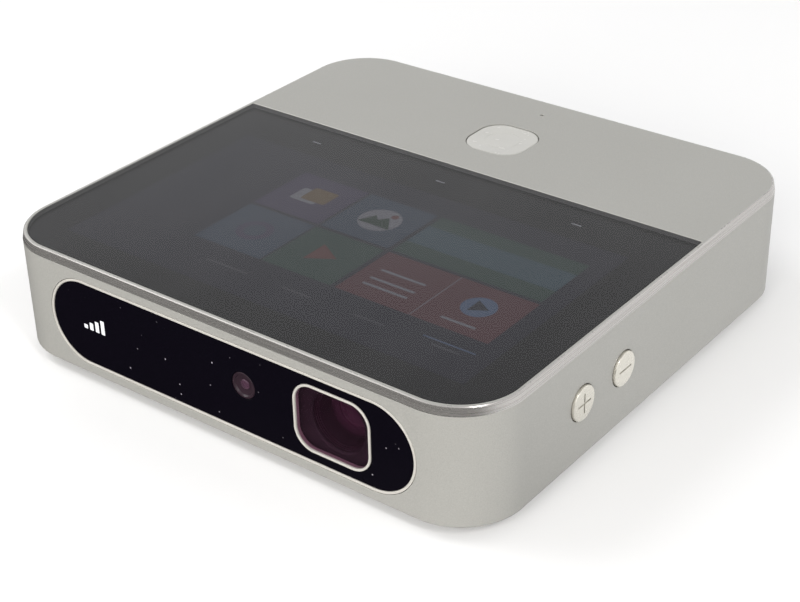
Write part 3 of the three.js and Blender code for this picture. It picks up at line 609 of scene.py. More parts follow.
def volume_radius():
    """The side buttons' visible radius: their hidden flange is 1 mm larger."""
    return Box("volume_up_button").size.y / 2 - FLANGE


def power_outline(gap):
    """The power button's outline: its hidden flange is 1 mm larger all round."""
    size = Box("power_button").size.x - 2 * FLANGE + 2 * gap
    return rounded_box(size, size, BUTTON_CORNER, steps=16)


def top_openings():
    """The hollow inside, the mouth below, and what opens in the deck and the front wall."""
    glass = Box("cover_glass")
    ledge = 2.7 * MM
    panel_size = (glass.size.x - 2 * ledge, glass.size.y - 2 * ledge)
    panel = rounded_box(*panel_size, 8 * MM, centre=(0, glass.centre.y))
    deck = facing_up(0, 0, TOP)
    window = front_plane("front_window")
    power_button = facing_up(0, Box("power_button").centre.y, TOP)
    microphone = facing_up(0, Box("microphone").centre.y, TOP)
    through = DECK + BEYOND
    return [
        (ORIGIN, body_outline(WALL), [(0, BOTTOM + LIP_THICKNESS), (0, TOP - DECK)]),
        (ORIGIN, body_outline(LIP), [(0, BOTTOM - BEYOND), (0, BOTTOM + LIP_THICKNESS + BEYOND)]),
        (deck, glass_outline(HAIRLINE), cutter_profile(GLASS_RECESS, chamfer=0.1 * MM)),
        (deck, panel, cutter_profile(through)),
        (window, stadium("front_window_rim", HAIRLINE), cutter_profile(1.5 * MM, chamfer=0.08 * MM)),
        (window, stadium("front_window", -1.6 * MM), cutter_profile(WALL + BEYOND)),
        (power_button, power_outline(gap=0.06 * MM), cutter_profile(through, chamfer=0.03 * MM)),
        (microphone, disc(0.45 * MM, 32), cutter_profile(through, chamfer=0.1 * MM)),
    ]


def wall_openings():
    """What opens in the side and rear walls: the buttons, the sockets, the card door and the grilles."""
    through = WALL + BEYOND
    openings = []
    for node in ("volume_up_button", "volume_down_button"):
        box = Box(node)
        plane = facing_right(RIGHT_FACE, box.centre.y, box.centre.z)
        openings.append((plane, disc(volume_radius() + 0.2 * MM), cutter_profile(through, chamfer=0.06 * MM)))
    for node, corner in (("hdmi_port", 0.8 * MM), ("usb_port", 0.6 * MM)):
        plane, width, height = socket_place(node)
        outline = rounded_box(width + 0.4 * MM, height + 0.4 * MM, corner, steps=8)
        openings.append((plane, outline, cutter_profile(through, chamfer=0.2 * MM)))
    for node, radius in (("dc_jack", 4.1 * MM), ("audio_jack", 3.1 * MM)):
        plane = facing_rear(Box(node).centre.x, REAR_FACE, ROUND_SOCKET_HEIGHT[node])
        openings.append((plane, disc(radius), cutter_profile(through, chamfer=0.25 * MM)))
    door = Box("card_door")
    plane = facing_rear(door.centre.x, REAR_FACE, door.centre.z)
    outline = rounded_box(door.size.x + 0.6 * MM, door.size.z + 0.6 * MM, 0.8 * MM, steps=8)
    openings.append((plane, outline, cutter_profile(through, chamfer=0.1 * MM)))
    for node in ("exhaust_grille", "speaker_grille"):
        box = Box(node)
        plane = facing_left(LEFT_FACE, box.centre.y, box.centre.z)
        outline = rounded_box(box.size.y + 0.2 * MM, box.size.z + 0.2 * MM, 1.6 * MM, steps=8)
        openings.append((plane, outline, cutter_profile(through, chamfer=0.1 * MM)))
    return openings


def make_shell():
    under_radius = 0.5 * MM
    edge_radius = 0.51 * MM
    profile = arc(under_radius, BOTTOM + under_radius, under_radius, 270, 180)
    profile.append((0, TOP - BAND_LOW))
    profile.append((BAND_INSET, TOP - BAND_HIGH))
    profile += arc(EDGE_INSET, TOP - edge_radius, edge_radius, 180, 90, 3)[1:]
    wall, band, polished = 0, 1, 2  # places among the shell's materials
    walls = len(profile) - 1 - 4
    bands = [wall] * walls + [band] * 3 + [polished]
    shell = solid("shell", ORIGIN, body_outline(), profile, SILVER, BAND, POLISHED, bands=bands)
    combine(shell, [solid("opening", *opening) for opening in top_openings() + wall_openings()])
    return placed(shell, replaces=["main_housing"], sharp=8)


make_shell()

# ---- The screen ----


def make_screen_glass():
    box = Box("cover_glass")
    profile = slab_profile(box.low.z, box.high.z, 0.05 * MM, 0.12 * MM, 3)
    glass = solid("screen_glass", ORIGIN, glass_outline(0), profile, SCREEN_GLASS)
    placed(glass, replaces=["cover_glass"])
    low = TOP - GLASS_RECESS + 0.01 * MM
    high = low + 0.02 * MM
    window = rounded_box(ACTIVE[0], ACTIVE[1], 0.3 * MM, centre=(0, ACTIVE_FRONT + ACTIVE[1] / 2))
    outer = glass_outline(-0.1 * MM)

    def outline(inset):
        return window() if inset else outer()

    border = [(0, low), (0, high), (1, high), (1, low)]
    placed(solid("glass_border", ORIGIN, outline, border, INK, closed=True))


class Picture:
    """The picture on the panel, seen by someone behind the object: their left is +X.

    Its places are in millimetres and its depths in layers, where a deeper number lies over a lower one.
    """

    TONES = {
        "ground": (0.018, 0.018, 0.03),
        "red": (0.1, 0.035, 0.042),
        "green": (0.03, 0.062, 0.05),
        "blue": (0.045, 0.065, 0.095),
        "violet": (0.055, 0.043, 0.085),
        "pale": (0.2, 0.2, 0.22),
        "faint": (0.07, 0.07, 0.08),
        "sky": (0.09, 0.13, 0.21),
        "band": (0.05, 0.09, 0.11),
        "rust": (0.13, 0.05, 0.045),
        "amber": (0.15, 0.1, 0.045),
        "hill": (0.02, 0.045, 0.028),
    }
    LAYER = 0.02 * MM

    def __init__(self):
        self.level = Box("display_panel").high.z
        self.materials = {name: glowing("picture_" + name, tone) for name, tone in self.TONES.items()}
        self.parts = []

    def add(self, outline, tone, depth):
        low = self.level + depth * self.LAYER
        profile = [(0, low), (0, low + self.LAYER)]
        self.parts.append(solid("picture_part", ORIGIN, outline, profile, self.materials[tone]))

    def bar(self, left, right, front, rear, tone, depth=2, corner=0.1):
        centre = ((left + right) / 2 * MM, (front + rear) / 2 * MM)
        outline = rounded_box((right - left) * MM, (rear - front) * MM, corner * MM, steps=4, centre=centre)
        self.add(outline, tone, depth)

    def dot(self, x, y, radius, tone, depth=2):
        self.add(disc(radius * MM, 40, centre=(x * MM, y * MM)), tone, depth)

    def wedge(self, corners, tone, depth=2):
        self.add(polygon([(x * MM, y * MM) for x, y in corners]), tone, depth)


def make_picture():
    """Six tiles in two rows with a sign on most of them, and short bars where a menu would be."""
    picture = Picture()
    half = ACTIVE[0] / MM / 2
    front = ACTIVE_FRONT / MM
    picture.bar(-half, half, front, front + ACTIVE[1] / MM, "ground", depth=0)
    row_one = (-39.3, -20.3)
    row_two = (-19.2, -0.3)
    for left, right, row, tone in (
        (11, 50.6, row_one, "red"),
        (-9.7, 9.7, row_one, "green"),
        (-29.7, -10.3, row_one, "blue"),
        (11, 50.3, row_two, "green"),
        (-9.5, 9.7, row_two, "blue"),
        (-29.7, -10.3, row_two, "violet"),
    ):
        picture.bar(left, right, *row, tone, depth=1)
    for left, right in ((41.3, 48.4), (21.2, 29.3), (1.8, 9.8), (-20, -8)):
        picture.bar(left, right, -46.1, -45.5, "faint", depth=1, corner=0.3)
    picture.bar(38, 51, -44.2, -43.8, "sky", depth=1)
    # The play sign and its lines
    picture.bar(30.65, 30.85, *row_one, "pale")
    picture.bar(36.5, 45.3, -36.4, -35.6, "pale", corner=0.4)
    picture.dot(40.9, -28.5, 4, "sky")
    picture.wedge([(39.4, -30.9), (43.4, -28.5), (39.4, -26.1)], "ground", depth=3)
    for y in (-34.6, -31.9, -28):
        picture.bar(14.5, 26.5, y, y + 0.8, "pale", corner=0.4)
    # The plain signs of the other tiles
    picture.wedge([(-2.8, -33.4), (3.6, -29.6), (-2.8, -25.8)], "rust")
    picture.dot(-20, -29.8, 4.4, "violet")
    picture.dot(-20, -29.8, 2.6, "blue", depth=3)
    picture.bar(11, 50.3, -13.8, -5.4, "band")
    # The hill picture, and two sheets
    picture.dot(0.1, -9.6, 5.2, "pale")
    hill = [(-4.2, -12.4), (4.6, -12.4), (1.4, -7.6), (-0.4, -9.8), (-1.9, -8.2)]
    picture.wedge(hill, "hill", depth=3)
    picture.dot(2.2, -6.6, 0.9, "rust", depth=3)
    picture.bar(-24.6, -17.4, -12.6, -6.6, "pale", corner=0.6)
    picture.bar(-22.2, -15.2, -11.4, -5.2, "amber", depth=3, corner=0.6)
    placed(merged("screen_picture", picture.parts))


def make_key_marks():
    """Three small touch keys printed under the glass, behind the picture."""
    level = Box("cover_glass").low.z - 0.012 * MM
    profile = [(0, level), (0, level + 0.008 * MM)]
    parts = []
    for x in (-38, 0, 38):
        outline = rounded_box(2.6 * MM, 0.5 * MM, 0.24 * MM, steps=6, centre=(x * MM, 13.8 * MM))
        parts.append(solid("key", ORIGIN, outline, profile, PRINT))
    placed(merged("touch_key_marks", parts))


make_screen_glass()
make_picture()
make_key_marks()

# ---- The front window ----


def make_window():
    pane_profile = slab_profile(-1.4 * MM, -0.2 * MM, 0.05 * MM, 0.12 * MM, 3)
    pane = solid("window_pane", front_plane("front_window"), stadium("front_window", 0), pane_profile, WINDOW)
    camera_radius = Box("camera_lens").size.x / 2 + HAIRLINE
    flared = [(0, -3 * MM), (0, -0.3 * MM), (-0.1 * MM, -0.2 * MM), (-0.1 * MM, BEYOND)]
    cutters = [
        solid("lens_hole", front_plane("lens_bezel"), lens_outline(HAIRLINE), cutter_profile(3 * MM)),
        solid("camera_hole", front_plane("camera_lens"), disc(camera_radius), flared),
    ]
    combine(pane, cutters)
    placed(pane, replaces=["front_window"], sharp=20)


def make_trim_ring(name, node, place, outline, width, deep):
    """A fine metal ring with a rounded face, at the middle of another node of the front wall."""
    half = width / 2
    rise = arc(half, -half * 0.6, half, 180, 90, 4)
    fall = arc(half, -half * 0.6, half, 90, 0, 4)[1:]
    profile = [(0, -deep), *rise, *fall, (width, -deep)]
    flattened = [(inset, min(height, 0.0)) for inset, height in profile]
    ring = solid(name, front_plane(place), outline, flattened, TRIM, closed=True)
    placed(ring, replaces=[node], sharp=50)


def make_signal_mark():
    """A plain sign for a wireless signal: bars of rising height."""
    plane = facing_front(-37.1 * MM, FRONT_FACE + 0.19 * MM, 16.3 * MM)
    pitch = 1.8 * MM
    parts = []
    for index in range(4):
        height = (1.0 + 0.85 * index) * MM
        centre = ((index - 1.5) * pitch, height / 2 - 1.75 * MM)
        outline = rounded_box(1.1 * MM, height, 0.15 * MM, steps=4, centre=centre)
        parts.append(solid("bar", plane, outline, [(0, -0.01 * MM), (0, 0.008 * MM)], PRINT))
    placed(merged("signal_mark", parts))


def dome(radius, base, rise, steps):
    """The rounded front of a lens as (radius, height): a quarter of an ellipse over its base."""
    found = []
    for step in range(1, steps + 1):
        angle = math.pi / 2 * step / steps
        found.append((radius * math.cos(angle), base + rise * math.sin(angle)))
    return found


def make_lens_pane_and_baffle(mouth, tube_radius):
    pane_profile = slab_profile(-1.05 * MM, -0.35 * MM, 0.05 * MM, 0.1 * MM, 3)
    pane = solid("lens_pane", mouth, lens_outline(-0.65 * MM), pane_profile, LENS_GLASS)
    placed(pane, replaces=["lens_cover_glass"])
    face = -2.1 * MM
    baffle = solid("lens_baffle", mouth, lens_outline(1.2 * MM), [(0, -2.7 * MM), (0, face)], BLACK)
    flared = [(0, -4 * MM), (0, -2.5 * MM), (-0.4 * MM, face), (-0.4 * MM, 0)]
    combine(baffle, [solid("hole", mouth, disc(tube_radius - 0.6 * MM), flared)])
    placed(baffle)


def make_lens_tube(mouth, radius):
    """The barrel: a wider flange round its middle, and a mouth that narrows in steps to its bore."""
    barrel = Box("lens_barrel")
    front = FRONT_FACE - barrel.low.y
    back = FRONT_FACE - barrel.high.y
    bore = Box("projection_lens").size.x / 2 + 0.15 * MM
    flange = radius + 0.8 * MM
    profile = [(0, back), (radius, back), (radius, -15.6 * MM), (flange, -15.2 * MM)]
    profile += [(flange, -9.8 * MM), (radius, -9.4 * MM), (radius, front)]
    ridge = front
    ridge_depth = 0.3 * MM
    ridges = 4
    for index in range(ridges):
        r = radius - 0.35 * MM - index * (radius - bore) / ridges
        profile += [(r, ridge), (r, ridge - ridge_depth)]
        ridge -= ridge_depth
    bottom = -10 * MM
    profile += [(bore, ridge), (bore, bottom), (0, bottom)]
    tube = turned("lens_tube", mouth, profile, RING)
    placed(tube, replaces=["lens_barrel"], sharp=30)


def make_lens():
    mouth = front_plane("lens_bezel")
    tube_radius = Box("lens_barrel").size.x / 2 - 0.8 * MM
    make_lens_pane_and_baffle(mouth, tube_radius)
    make_lens_tube(mouth, tube_radius)
    lens = Box("projection_lens")
    radius = lens.size.x / 2
    rise = 2.3 * MM
    height = FRONT_FACE - lens.low.y
    rim = [(0, height - 3.6 * MM), (radius, height - 3.6 * MM), (radius, height - rise)]
    glass = turned("front_lens", mouth, rim + dome(radius, height - rise, rise, 14), LENS)
    placed(glass, replaces=["projection_lens"], sharp=40)


def make_camera():
    plane = front_plane("camera_lens")
    radius = Box("camera_lens").size.x / 2
    back = -1.4 * MM
    rim = -0.3 * MM
    well = -0.95 * MM
    dish = [(0, back), (radius, back), (radius, rim - 0.1 * MM), (radius - 0.12 * MM, rim)]
    dish += [(radius - 0.45 * MM, rim), (radius - 0.7 * MM, -0.7 * MM), (1.3 * MM, well), (0, well)]
    placed(turned("camera_seat", plane, dish, RING), replaces=["camera_lens"], sharp=30)
    eye_radius = 1.25 * MM
    base = -0.93 * MM
    profile = [(0, base), (eye_radius, base), *dome(eye_radius, base, 0.45 * MM, 10)]
    placed(turned("camera_eye", plane, profile, LENS), sharp=40)


make_window()
rim_outline = stadium("front_window_rim", 0)
make_trim_ring("window_rim", "front_window_rim", "front_window", rim_outline, width=0.6 * MM, deep=1.4 * MM)
bezel_outline = lens_outline(-0.02 * MM)
make_trim_ring("lens_rim", "lens_bezel", "lens_bezel", bezel_outline, width=0.55 * MM, deep=1.3 * MM)
make_signal_mark()
make_lens()
make_camera()

# ---- Buttons ----


def ring_cutter(plane, radius, width, low, high):
    """A tube to cut a round groove with."""
    profile = [(0, low), (0, high), (width, high), (width, low)]
    return solid("groove", plane, disc(radius + width / 2, 64), profile, closed=True)


def make_power_button():
    """A dished cap with a round groove, on a flange under the deck and a nub for the switch."""
    box = Box("power_button")
    plane = facing_up(0, box.centre.y, 0)
    half = box.size.x / 2 - FLANGE
    top = box.high.z
    ceiling = TOP - DECK
    round_over = 0.5 * MM
    dish = 0.3 * MM
    rings = 8
    profile = [(0, ceiling - 0.4 * MM), *arc(round_over, top - round_over, round_over, 180, 90, 6)]
    for ring in range(1, rings + 1):
        inset = round_over + (half - 1.2 * MM - round_over) * ring / rings
        fall = dish * (1 - ((half - inset) / (half - round_over)) ** 2)
        profile.append((inset, top - fall))
    cap = solid("power_cap", plane, power_outline(0), profile, MILKY)
    combine(cap, [ring_cutter(plane, 4.35 * MM, 0.5 * MM, top - 0.24 * MM, top + BEYOND)])
    flange = rounded_box(box.size.x, box.size.y, BUTTON_CORNER, steps=8)
    base = solid("flange", plane, flange, [(0, ceiling - 0.9 * MM), (0, ceiling - 0.1 * MM)])
    nub = solid("nub", plane, disc(2 * MM, 24), [(0, box.low.z), (0, ceiling - 0.85 * MM)])
    combine(cap, [base, nub], "UNION")
    placed(cap, body="power_button", replaces=["power_button"], sharp=22)


def make_volume_button(node, body, bars):
    """A disc on a flange behind the wall and a stem for its switch, with its sign cut into it."""
    box = Box(node)
    plane = facing_right(0, box.centre.y, box.centre.z)
    stem = 1.5 * MM
    radius = volume_radius()
    flange = radius + FLANGE
    flange_top = RIGHT_FACE - WALL - 0.1 * MM
    flange_bottom = RIGHT_FACE - WALL - 0.7 * MM
    face = box.high.x
    edge = 0.3 * MM
    profile = [(0, box.low.x), (stem, box.low.x), (stem, flange_bottom), (flange, flange_bottom)]
    profile += [(flange, flange_top), (radius, flange_top)]
    profile += [(radius - inset, height) for inset, height in arc(edge, face - edge, edge, 180, 90, 5)]
    profile += [(radius * 0.5, face), (0, face)]
    cap = turned(node + "_cap", plane, profile, CHAMPAGNE, steps=96)
    cutters = []
    for width, height in bars:
        outline = rounded_box(width, height, 0.2 * MM, steps=5)
        cutters.append(solid("mark", plane, outline, [(0, face - 0.15 * MM), (0, face + BEYOND)], MARK))
    combine(cap, cutters)
    placed(cap, body=body, replaces=[node], sharp=25)


LEVEL_BAR = (4.8 * MM, 0.42 * MM)
UPRIGHT_BAR = (0.42 * MM, 4.8 * MM)
make_power_button()
make_volume_button("volume_up_button", "volume_up", [LEVEL_BAR, UPRIGHT_BAR])
make_volume_button("volume_down_button", "volume_down", [LEVEL_BAR])

# ---- The base ----

TRIPOD = Box("tripod_insert")
STAND = Box("kickstand")
STAND_TIP_CORNER = 3 * MM
PLATE = Box("base_plate")
PLATE_THICKNESS = 1.5 * MM
PLUG_INSET = 1.6 * MM
PLUG_TOP = PLATE.low.z + 2.9 * MM
BASE_CORNERS = ("front_left", "front_right", "rear_right", "rear_left")
INTAKE = Box("fan_housing")
INTAKE_RADIUS = 13 * MM


def stand_outline(gap):
    """The folded stand from below: square at its hinge, round at its tip. A viewer's up is -Y."""
    width = STAND.size.x + 2 * gap
    length = STAND.size.y + 2 * gap
    tip = STAND_TIP_CORNER + gap
    hinge = 0.3 * MM
    return rounded_box(width, length, (tip, hinge, hinge, tip), steps=10, centre=(0, -STAND.centre.y))


def base_cutters():
    under = facing_down(0, 0, PLATE.low.z)
    through = PLATE.size.z + BEYOND
    gap = 0.3 * MM
    pocket_depth = STAND.high.z - PLATE.low.z + 0.1 * MM
    scoop = rounded_box(12 * MM, 7 * MM, 3 * MM, steps=8, centre=(0, -STAND.high.y))
    scoop_profile = [(1.6 * MM, -1 * MM), (0.5 * MM, -0.8 * MM), (0, 0), (0, BEYOND)]
    middle = facing_down(TRIPOD.centre.x, TRIPOD.centre.y, PLATE.low.z)
    insert_hole = disc(TRIPOD.size.x / 2 + 0.2 * MM)
    cutters = [
        solid("pocket", under, stand_outline(gap), cutter_profile(pocket_depth, chamfer=0.15 * MM)),
        solid("scoop", under, scoop, scoop_profile),
        solid("insert_hole", middle, insert_hole, cutter_profile(through, chamfer=0.2 * MM)),
    ]
    for corner in BASE_CORNERS:
        screw = Box("base_screw_" + corner)
        plane = facing_down(screw.centre.x, screw.centre.y, PLATE.low.z)
        seat = screw.size.x / 2 + 0.2 * MM
        cutters.append(solid("seat", plane, disc(seat, 40), cutter_profile(1.1 * MM, chamfer=0.15 * MM)))
        cutters.append(solid("shank_hole", plane, disc(1.3 * MM, 24), cutter_profile(through)))
    pitch = 4 * MM
    slot_width = 1.8 * MM
    rows_each_side = 3
    for row in range(-rows_each_side, rows_each_side + 1):
        reach = math.sqrt(INTAKE_RADIUS**2 - (row * pitch) ** 2)
        plane = facing_down(INTAKE.centre.x, INTAKE.centre.y + row * pitch, PLATE.low.z)
        slot = rounded_box(2 * reach, slot_width, slot_width / 2, steps=8)
        cutters.append(solid("intake_slot", plane, slot, cutter_profile(through, chamfer=0.2 * MM)))
    return cutters


def make_base_plate():
    corner = CORNER - (BODY.size.x - PLATE.size.x) / 2
    outline = rounded_box(PLATE.size.x, PLATE.size.y, corner)
    low = PLATE.low.z
    inside = low + 1 * MM
    plate = solid("base_cover", ORIGIN, outline, slab_profile(low, low + PLATE_THICKNESS, 0.4 * MM), BLACK)
    plug_size = (PLATE.size.x - 2 * PLUG_INSET, PLATE.size.y - 2 * PLUG_INSET)
    plug = solid("plug", ORIGIN, rounded_box(*plug_size, corner - PLUG_INSET), [(0, inside), (0, PLUG_TOP)])
    over_insert = facing_up(TRIPOD.centre.x, TRIPOD.centre.y, 0)
    boss = solid("boss", over_insert, disc(TRIPOD.size.x / 2 + 2 * MM), [(0, inside), (0, PLATE.high.z)])
    combine(plate, [plug, boss], "UNION")
    combine(plate, base_cutters())
    placed(plate, replaces=["base_plate"])


def make_foot(node):
    """A low rubber disc with a soft edge and a ring groove."""
    box = Box(node)
    radius = box.size.x / 2
    height = box.size.z
    plane = facing_down(box.centre.x, box.centre.y, box.high.z)
    edge = [(radius + inset, h) for inset, h in arc(-0.4 * MM, height - 0.4 * MM, 0.4 * MM, 0, 90, 5)]
    groove = [(radius - 1.4 * MM, height), (radius - 1.5 * MM, height - 0.2 * MM)]
    groove += [(radius - 2 * MM, height - 0.2 * MM), (radius - 2.1 * MM, height)]
    foot = turned(node + "_pad", plane, [(0, 0), (radius, 0), *edge, *groove, (0, height)], RUBBER)
    placed(foot, replaces=[node])


def make_base_screw(node):
    box = Box(node)
    radius = box.size.x / 2
    shank = 1.2 * MM
    head = 0.9 * MM
    plane = facing_down(box.centre.x, box.centre.y, box.low.z)
    point = 0.3 * MM
    edge = 0.25 * MM
    profile = [(0, -box.size.z), (shank - point, -box.size.z), (shank, point - box.size.z), (shank, -head)]
    profile += [(radius, -head), (radius, -edge), (radius - edge, 0), (0, 0)]
    screw = turned(node + "_head", plane, profile, STEEL, steps=48)
    six_sided = disc(1 * MM, 6)
    combine(screw, [solid("drive", plane, six_sided, [(0.2 * MM, -0.55 * MM), (0, -0.5 * MM), (0, BEYOND)])])
    placed(screw, replaces=[node])


def make_tripod_insert():
    """A blind threaded insert: its thread is shown as closed rings."""
    bore = 2.6 * MM
    depth = TRIPOD.size.z - 1 * MM
    pitch = 0.8 * MM
    radius = TRIPOD.size.x / 2
    plane = facing_down(TRIPOD.centre.x, TRIPOD.centre.y, TRIPOD.low.z)
    profile = [(0, -TRIPOD.size.z), (radius, -TRIPOD.size.z), (radius, -0.2 * MM), (radius - 0.2 * MM, 0)]
    profile += [(bore + 0.6 * MM, 0)]
    height = -0.5 * MM
    while height > pitch - depth:
        profile += [(bore, height), (bore + 0.4 * MM, height - pitch / 2)]
        height -= pitch
    profile += [(bore, height), (bore, -depth), (0, -depth)]
    insert = turned("threaded_insert", plane, profile, BRASS)
    placed(insert, replaces=["tripod_insert"])


def make_kickstand():
    """A thin leg with grip ridges near its tip, and a round hinge edge."""
    half = STAND.size.z / 2
    hinge_y = STAND.low.y + half
    under = facing_down(0, 0, STAND.centre.z)
    length = STAND.high.y - hinge_y
    corners = (STAND_TIP_CORNER, 0.1 * MM, 0.1 * MM, STAND_TIP_CORNER)
    outline = rounded_box(STAND.size.x, length, corners, steps=10, centre=(0, -(hinge_y + STAND.high.y) / 2))
    leg = solid("kickstand_leg", under, outline, slab_profile(-half, half, 0.25 * MM, 0.25 * MM), CAST)
    across = facing_right(STAND.low.x, hinge_y, STAND.centre.z)
    barrel = solid("barrel", across, disc(half, 32), slab_profile(0, STAND.size.x, 0.2 * MM, 0.2 * MM))
    combine(leg, [barrel], "UNION")
    cutters = [solid("bore", across, disc(0.55 * MM, 24), [(0, -BEYOND), (0, STAND.size.x + BEYOND)])]
    ridge = rounded_box(24 * MM, 0.6 * MM, 0.28 * MM, steps=6)
    for index in range(5):
        y = STAND.high.y - (2 + 1.3 * index) * MM
        plane = facing_down(0, y, STAND.low.z)
        cutters.append(solid("ridge", plane, ridge, cutter_profile(0.2 * MM, chamfer=0.1 * MM)))
    combine(leg, cutters)
    placed(leg, body="kickstand", replaces=["kickstand"])


make_base_plate()
make_tripod_insert()
make_kickstand()
for corner in BASE_CORNERS:
    make_foot("foot_" + corner)
    make_base_screw("base_screw_" + corner)

# ---- Sockets, card door and grilles ----

SOCKET_RECESS = 0.5 * MM
SOCKET_DEPTH = 11.5 * MM


def make_flat_socket(node, name, tongue_height, contacts, contact_side):
    """A pressed steel shell round a plastic tongue with gilded contacts above (1) or below (-1) it."""
    plane, width, height = socket_place(node)
    mouth = -SOCKET_RECESS
    back = mouth - SOCKET_DEPTH
    thin = 0.5 * MM
    bevel = 0.1 * MM
    cup = [(0, back), (0, mouth - bevel), (bevel, mouth), (thin - bevel, mouth), (thin, mouth - 0.2 * MM)]
    cup.append((thin, back + 1.5 * MM))
    parts = [solid("cup", plane, rounded_box(width, height, 0.8 * MM, steps=6), cup, STEEL)]
    half_tongue = 0.8 * MM
    tongue_width = width - 3.2 * MM
    tongue = rounded_box(tongue_width, 2 * half_tongue, 0.15 * MM, steps=4, centre=(0, tongue_height))
    end = mouth - 1 * MM
    parts.append(solid("tongue", plane, tongue, slab_profile(back + 1 * MM, end, 0, 0.15 * MM), BLACK))
    pitch = tongue_width / (contacts + 1)
    for index in range(contacts):
        u = (index + 1) * pitch - tongue_width / 2
        v = tongue_height + contact_side * half_tongue
        strip = rounded_box(pitch * 0.45, 0.12 * MM, 0.03 * MM, steps=2, centre=(u, v))
        parts.append(solid("contact", plane, strip, [(0, back + 2 * MM), (0, end - 0.6 * MM)], GOLD))
    foot = rounded_box(width - 1.2 * MM, 0.6 * MM, 0.1 * MM, steps=2, centre=(0, -height / 2 + 0.1 * MM))
    parts.append(solid("foot", plane, foot, [(0, back + 1 * MM), (0, back + 6 * MM)], STEEL))
    placed(merged(name, parts), replaces=[node])


def make_round_socket(node, name, mouth_radius, bore, pin):
    """A moulded housing with a flared round mouth, a spring sleeve inside and perhaps a centre pin."""
    box = Box(node)
    middle = ROUND_SOCKET_HEIGHT[node]
    plane = facing_rear(box.centre.x, REAR_FACE, middle)
    mouth = -SOCKET_RECESS
    shoulder = -3 * MM
    back = box.low.y - REAR_FACE
    block = rounded_box(box.size.x, box.size.z, 0.5 * MM, steps=4, centre=(0, box.centre.z - middle))
    housing = solid("housing", plane, block, slab_profile(back, shoulder, 0.2 * MM, 0.2 * MM), BLACK)
    nose_profile = slab_profile(shoulder - 1 * MM, mouth, 0, 0.25 * MM)
    combine(housing, [solid("nose", plane, disc(mouth_radius), nose_profile)], "UNION")
    depth = 12 * MM
    recess = facing_rear(box.centre.x, REAR_FACE + mouth, middle)
    combine(housing, [solid("hole", recess, disc(bore), cutter_profile(depth, chamfer=0.3 * MM))])
    gap = 0.02 * MM
    wall = 0.2 * MM
    start = mouth - depth + 0.5 * MM
    sleeve = [(gap, start), (gap, shoulder), (wall, shoulder), (wall, start)]
    parts = [housing, solid("sleeve", plane, disc(bore), sleeve, STEEL, closed=True)]
    if pin:
        tip = mouth - 1 * MM
        profile = [(0, start - 0.5 * MM), (pin, start - 0.5 * MM), (pin, tip - pin)]
        profile += [(r, tip - pin + h) for r, h in arc(0, 0, pin, 0, 90, 6)[1:]]
        parts.append(turned("pin", plane, profile, STEEL, steps=32))
    placed(merged(name, parts), replaces=[node])


def make_card_door():
    """A small flap with a nail notch at its upper edge and a round hinge at its lower one."""
    box = Box("card_door")
    half = box.size.y / 2
    hinge_z = box.low.z + half
    plane = facing_rear(box.centre.x, REAR_FACE, 0)
    middle = (hinge_z + box.high.z) / 2
    corners = (0.02 * MM, 0.6 * MM, 0.6 * MM, 0.02 * MM)
    outline = rounded_box(box.size.x, box.high.z - hinge_z, corners, steps=8, centre=(0, middle))
    flap = solid("card_flap", plane, outline, slab_profile(-2 * half, 0, 0.15 * MM, 0.15 * MM), SILVER)
    across = facing_right(box.low.x, box.centre.y, hinge_z)
    barrel = solid("barrel", across, disc(half, 40), slab_profile(0, box.size.x, 0.1 * MM, 0.1 * MM))
    combine(flap, [barrel], "UNION")
    notch = rounded_box(8 * MM, 2 * MM, 0.6 * MM, steps=6, centre=(0, box.high.z))
    cutters = [
        solid("notch", plane, notch, cutter_profile(0.7 * MM, chamfer=0.1 * MM)),
        solid("bore", across, disc(0.4 * MM, 24), [(0, -BEYOND), (0, box.size.x + BEYOND)]),
    ]
    combine(flap, cutters)
    placed(flap, body="card_door", replaces=["card_door"])


def make_grille(node, name):
    """A panel of upright bars with round-ended slots between them."""
    box = Box(node)
    plane = facing_left(box.low.x, box.centre.y, box.centre.z)
    slot = 1.4 * MM
    pitch = 2.6 * MM
    border = 1.4 * MM
    outline = rounded_box(box.size.y, box.size.z, 1.5 * MM, steps=8)
    panel = solid(name, plane, outline, slab_profile(-box.size.x, 0, 0.1 * MM, 0.2 * MM), GREY)
    through = box.size.x + BEYOND
    count = math.floor((box.size.y - 2 * border + pitch - slot) / pitch)
    cutters = []
    for index in range(count):
        u = (index - (count - 1) / 2) * pitch
        opening = rounded_box(slot, box.size.z - 2 * border, slot / 2 - 0.02 * MM, steps=6, centre=(u, 0))
        cutters.append(solid("slot", plane, opening, cutter_profile(through, chamfer=0.2 * MM)))
    combine(panel, cutters)
    placed(panel, replaces=[node])


make_flat_socket("hdmi_port", "picture_socket", tongue_height=0, contacts=9, contact_side=1)
make_flat_socket("usb_port", "data_socket", tongue_height=1.1 * MM, contacts=4, contact_side=-1)
make_round_socket("dc_jack", "power_inlet", mouth_radius=3.9 * MM, bore=2.9 * MM, pin=0.9 * MM)
make_round_socket("audio_jack", "headphone_socket", mouth_radius=2.9 * MM, bore=1.8 * MM, pin=0)
make_card_door()
make_grille("exhaust_grille", "exhaust_bars")
make_grille("speaker_grille", "speaker_bars")

# ---- What the frame carries as it is ----

CARRIED = {
    CAST: ["mid_frame", "lamp_heat_sink", "exhaust_fins"],
    STEEL: [
        *("kickstand_pin", "card_door_pin", "fan_shaft", "microphone"),
        *("hotspot_module", "processor_shield", "card_reader"),
    ],
    COPPER: ["heat_pipe"],
    BLACK: ["camera_module", "speaker", "fan_housing", "fan_rotor"],
    GREY: ["optical_engine", "antenna_left", "antenna_right"],
    BOARD: ["main_board", "power_switch", "volume_switch_board"],
    WRAP: ["battery"],
    INK: ["display_panel"],
}


